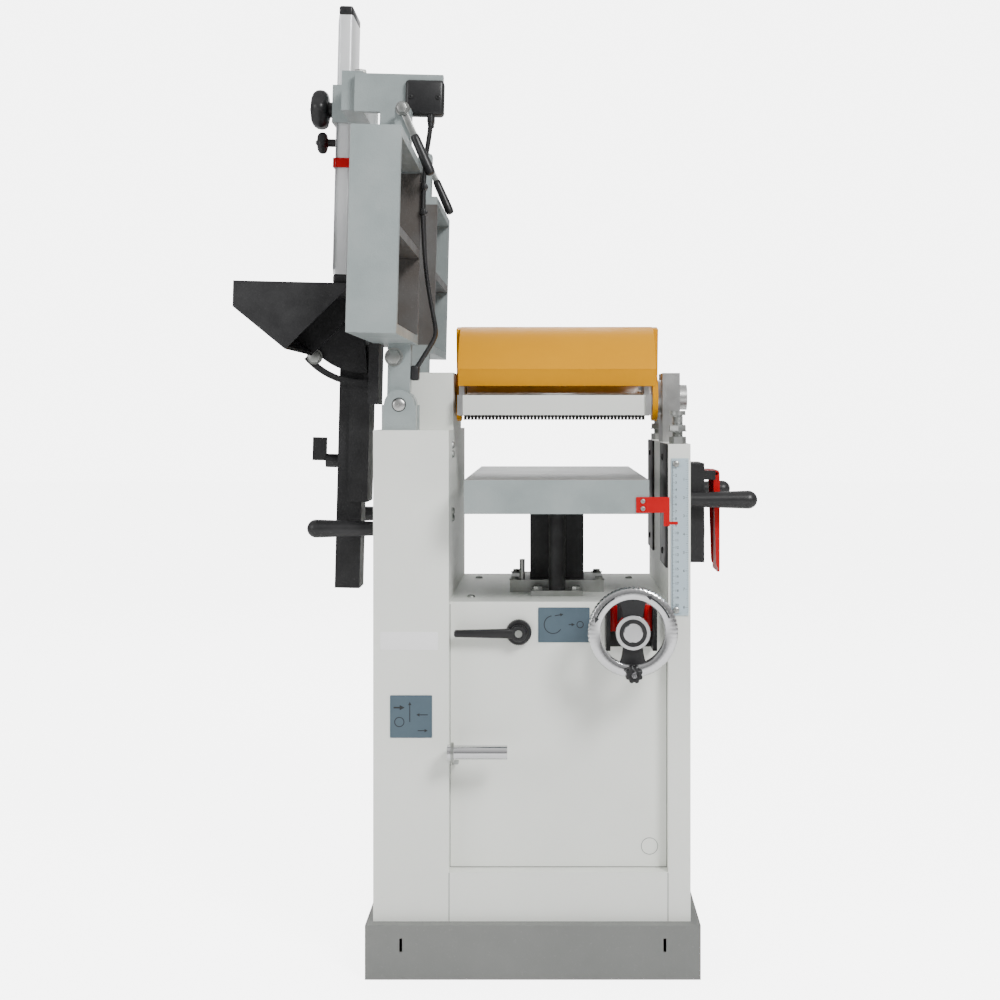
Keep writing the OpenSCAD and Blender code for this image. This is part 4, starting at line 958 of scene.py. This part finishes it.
def makeRearVent():
    low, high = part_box("rear_panel")
    face = high[1]
    bm = bmesh.new()
    for row in range(rearVent["rows"]):
        z = rearVent["first"] + row * rearVent["pitch"]
        addBox(bm, (rearVent["low"], face - rearVent["sink"], z),
               (rearVent["high"], face + rearVent["proud"], z + rearVent["tall"]), rearVent["round"], 3)
    newPiece("rearLouvres", bm, "cabinetPaint", "frame")
    bm = bmesh.new()
    across, up = rearVent["screwIn"]
    for x in (low[0] + across, high[0] - across):
        for z in (low[2] + up, high[2] - up):
            addDomeHead(bm, (x, face, z), (0, 1, 0), *rearVent["screw"])
    newPiece("rearScrews", bm, "zincPlate", "frame")


makeRearVent()
print("fixed heads and rear cover dressed")

# hinge pin ends: a bright chamfered pin in a dark fit line
pinEnd = {"x": -0.187, "z": 0.7925, "reach": 0.190,
          "line": [(0, 0), (0.0098, 0), (0.0098, 0.0004), (0, 0.0004)],
          "pin": [(0, 0.0002), (0.0086, 0.0002), (0.0086, 0.0016), (0.0074, 0.0026), (0.0022, 0.0026),
                  (0.0014, 0.0016), (0, 0.0016)]}


def makePinEnds():
    bm = bmesh.new()
    for side in (-1, 1):
        place = (pinEnd["x"], side * pinEnd["reach"], pinEnd["z"])
        addTurned(bm, pinEnd["line"], (0, side, 0), place, 40, 1)
        addTurned(bm, pinEnd["pin"], (0, side, 0), place, 40)
    newPiece("pinEnds", bm, ["turnedSteel", "mouldedBlack"], "frame")


# threads and lock nuts of the studs that the tables rest on
restStud = {"x": 0.202, "y": 0.185, "low": 0.7475, "high": 0.7775, "radius": 0.0069, "crest": 0.0077,
            "pitch": 0.002, "nutUp": 0.008, "nut": (0.022, 0.009, 0.0125)}


def makeRestStuds():
    bm = bmesh.new()
    x, low, pitch, radius = restStud["x"], restStud["low"], restStud["pitch"], restStud["radius"]
    turns = int((restStud["high"] - low) / pitch)
    profile = [(0, 0)]
    for i in range(turns):
        profile += [(radius, i * pitch), (restStud["crest"], i * pitch + pitch * 0.5)]
    profile += [(radius, turns * pitch), (0, turns * pitch)]
    for side in (-1, 1):
        y = side * restStud["y"]
        addTurned(bm, profile, (0, 0, 1), (x, y, low), 28)
        addHexHead(bm, (x, y, low + restStud["nutUp"]), (0, 0, 1), *restStud["nut"])
    newPiece("restStuds", bm, "zincPlate", "frame")


# red strips inside the handwheel bracket
bracketStrips = {"places": (0.1065, 0.1545), "width": 0.010, "low": (-0.214, 0.4800),
                 "high": (-0.1865, 0.5165), "round": 0.0015}


def makeBracketStrips():
    bm = bmesh.new()
    for x in bracketStrips["places"]:
        addBox(bm, (x, *bracketStrips["low"]), (x + bracketStrips["width"], *bracketStrips["high"]),
               bracketStrips["round"])
    newPiece("bracketStrips", bm, "signalRed", "frame")


# stop paddle: a pressed flap with turned-in sides and an open hinge roll
paddle = {"x": (0.2585, 0.268), "y": (-0.1237, -0.0503), "top": 0.692, "low": 0.552, "wall": 0.0028,
          "over": 0.004, "corner": 0.006, "sideUp": 0.006, "foot": (0.0045, 0, 0.004), "sideRound": 0.0025,
          "hinge": (0.255, 0.692), "roll": 0.0065, "bore": 0.0033, "lapRound": 0.0008}


def makePaddle():
    x0, x1 = paddle["x"]
    y0, y1 = paddle["y"]
    low, top, wall = paddle["low"], paddle["top"], paddle["wall"]
    bm = bmesh.new()
    plate = addBox(bm, (x1 - wall, y0, low), (x1, y1, top + paddle["over"]))
    bevelEdges(bm, edgesOf(plate, 0, 0.001), paddle["corner"], 4)
    for near, far in ((y0, y0 + wall), (y1 - wall, y1)):
        side = addBox(bm, (x0, near, low + paddle["sideUp"]), (x1 - wall, far, top))
        feet = [v for v in side if v.co.z < low + 0.01 and v.co.x < x0 + 0.001]
        bmesh.ops.translate(bm, vec=paddle["foot"], verts=feet)
        edges = [e for e in edgesOf(side, 1, 0.001) if e.verts[0].co.x < x0 + 0.006]
        bevelEdges(bm, edges, paddle["sideRound"], 3)
    (hx, hz), roll, bore, long = paddle["hinge"], paddle["roll"], paddle["bore"], y1 - y0
    addTurned(bm, [(bore, 0), (roll, 0), (roll, long), (bore, long), (bore, 0)], (0, 1, 0), (hx, y0, hz), 32)
    addBox(bm, (hx, y0, hz + roll - wall), (x1 - 0.001, y1, hz + roll), paddle["lapRound"])
    newPiece("paddleFlap", bm, "signalRed", "paddle", "stop_paddle")


# clamp lever: knurled hub, tapered grip and a socket screw
clamp = {
    "centre": (-0.020, 0.474), "face": -0.175, "hub": 0.018, "mills": 36, "millDepth": 0.965,
    "millEdge": 0.0002, "grip": (0.090, 0.006), "gripY": (0.0235, 0.0125), "gripRound": 0.0028, "taper": 0.05,
    "wide": 0.0068, "end": 0.0048,
    "turned": [
        ([(0, -0.012), (0.012, -0.012), (0.0118, -0.022), (0.0100, -0.024), (0.0062, -0.024),
          (0.0058, -0.0215), (0, -0.0215)], 40, 0),
        ([(0, -0.0215), (0.0052, -0.0215), (0.0052, -0.0232), (0.003, -0.0232), (0.003, -0.0222),
          (0, -0.0222)], 24, 1),
        ([(0, -0.012), (0.006, -0.012), (0.006, 0.024), (0, 0.024)], 28, 1)],
}


def makeClamp():
    cx, cz = clamp["centre"]
    face, hub, steps = clamp["face"], clamp["hub"], clamp["mills"] * 2
    place = (cx, face, cz)
    bm = bmesh.new()
    made = addTurned(bm, [(0, -0.0003), (hub - 0.001, -0.0003), (hub, -0.0013), (hub, -0.010),
                          (hub - 0.002, -0.0123), (0, -0.0123)], (0, 1, 0), place, steps)
    for v in made:
        out, turn = polar(v.co, cx, cz)
        if out > hub - clamp["millEdge"] and round(turn / math.tau * steps) % 2:
            drawIn(bm, v, cx, cz, clamp["millDepth"])
    for profile, sides, slot in clamp["turned"]:
        addTurned(bm, profile, (0, 1, 0), place, sides, slot)
    (far, near), (front, back) = clamp["grip"], clamp["gripY"]
    grip = addBox(bm, (cx - far, face - front, cz - clamp["wide"]),
                  (cx - near, face - back, cz + clamp["wide"]))
    for v in grip:
        if v.co.x < cx - clamp["taper"]:
            v.co.z = cz + (clamp["end"] if v.co.z > cz else -clamp["end"])
    bevelEdges(bm, edgesOf(grip), clamp["gripRound"], 3)
    newPiece("clampHandle", bm, ["mouldedBlack", "zincPlate"], "clamp", "clamp_lever")


# pivot nut of the feed lever, its grip collar, and a dark ring low on the panel that is painted shade in the
# crease of a pressed disc
feedNut = {"place": (-0.1117, -0.187, 0.300), "nut": (0.017, 0.008, 0.010),
           "gripPlace": (-0.1117, -0.231, 0.317),
           "collar": [(0.0102, 0), (0.0135, 0), (0.0135, 0.003), (0.0125, 0.004), (0.0102, 0.004),
                      (0.0102, 0)]}
pressedDiscShadeRing = {"place": (0.1634, -0.175, 0.173), "radius": 0.0112, "line": 0.0007, "proud": 0.0003}


def makeFeedNut():
    bm = bmesh.new()
    addHexHead(bm, feedNut["place"], (1, 0, 0), *feedNut["nut"])
    addTurned(bm, feedNut["collar"], (1, 0, 0), feedNut["gripPlace"], 40)
    newPiece("feedNut", bm, "zincPlate", "feed")


# the ring is dark paint standing in for the shade in the pressed disc's crease
def makePressedDiscShadeRing():
    bm = bmesh.new()
    r, out, h = pressedDiscShadeRing["radius"], pressedDiscShadeRing["radius"] + pressedDiscShadeRing["line"], pressedDiscShadeRing["proud"]
    addTurned(bm, [(r, 0), (r, h), (out, h), (out, 0), (r, 0)], (0, -1, 0), pressedDiscShadeRing["place"], 48)
    newPiece("pressedDiscShadeRing", bm, "plinthPaint", "frame")


# lobed grip of the handwheel
lobed = {"place": (0.1355, -0.292, 0.433), "radius": 0.012, "length": 0.0295, "lobes": 8, "dip": 0.0022,
         "bore": 0.00405, "lobeIn": 0.0035, "lobeEnd": 0.0175}


def makeLobedGrip():
    bm = bmesh.new()
    r, l, b = lobed["radius"], lobed["length"], lobed["bore"]
    cx, y0, cz = lobed["place"]
    made = addTurned(bm, [(b, 0.001), (b + 0.002, 0), (r - 0.003, 0), (r - 0.0008, 0.0012), (r, 0.0035),
                          (r, 0.015),
                          (r - 0.001, 0.017), (r - 0.004, 0.019), (r - 0.004, l), (b, l), (b, 0.001)],
                     (0, 1, 0), lobed["place"], lobed["lobes"] * 8)
    for v in made:
        out, turn = polar(v.co, cx, cz)
        if out > r - lobed["lobeIn"] and v.co.y < y0 + lobed["lobeEnd"]:
            drawIn(bm, v, cx, cz, 1 - lobed["dip"] / out * (0.5 + 0.5 * math.cos(turn * lobed["lobes"])) ** 2)
    newPiece("lobedGrip", bm, "mouldedBlack", "wheel_grip", "wheel_knob")


# fine dark lines where the panel and the skirt meet the columns: the joints, drawn dark as painted shade in
# the inner corners of the recessed panel
seamShade = {"left": -0.117, "right": 0.188, "panel": -0.175, "skirt": -0.198, "width": 0.0009, "proud": 0.0003,
         "panelZ": (0.1435, 0.5125), "skirtZ": (0.0755, 0.1425)}


def makeSeamShade():
    bm = bmesh.new()
    w, p = seamShade["width"], seamShade["proud"]
    for x in (seamShade["left"], seamShade["right"] - w):
        for part in ("panel", "skirt"):
            low, high = seamShade[part + "Z"]
            addBox(bm, (x, seamShade[part] - p, low), (x + w, seamShade[part], high))
    # dark line along the foot of the panel, painted shade in the corner above the skirt
    low = seamShade["panelZ"][0]
    addBox(bm, (seamShade["left"] + w, seamShade["panel"] - p, low), (seamShade["right"] - w, seamShade["panel"], low + w))
    newPiece("panelSeamShade", bm, "plinthPaint", "frame")


# saddles that hold the two leads under the rib, and the gland under the hinge block that both end in
saddles = {"places": (0.122, 0.086), "half": 0.0045, "low": (-0.1705, 0.7632), "high": (-0.1485, 0.7715),
           "round": 0.0022, "screw": (0.0026, 0.0016), "glandRound": 0.003,
           "gland": ((-0.152, -0.1705, 0.7675), (-0.131, -0.1485, 0.7795))}


def makeSaddles():
    low, high, half = saddles["low"], saddles["high"], saddles["half"]
    bm = bmesh.new()
    for x in saddles["places"]:
        addBox(bm, (x - half, *low), (x + half, *high), saddles["round"], 3)
        addDomeHead(bm, (x, (low[0] + high[0]) / 2, low[1]), (0, 0, -1), *saddles["screw"])
    addBox(bm, *saddles["gland"], saddles["glandRound"], 3)
    folded(bm)
    newPiece("leadSaddles", bm, "mouldedBlack", "infeed")


makeSeamShade()
makeSaddles()
makePinEnds()
makeRestStuds()
makeHeads("pointerScrews", "bed")
makeBracketStrips()
makePaddle()
makeClamp()
makeFeedNut()
makePressedDiscShadeRing()
makeLobedGrip()
print("small fittings made")
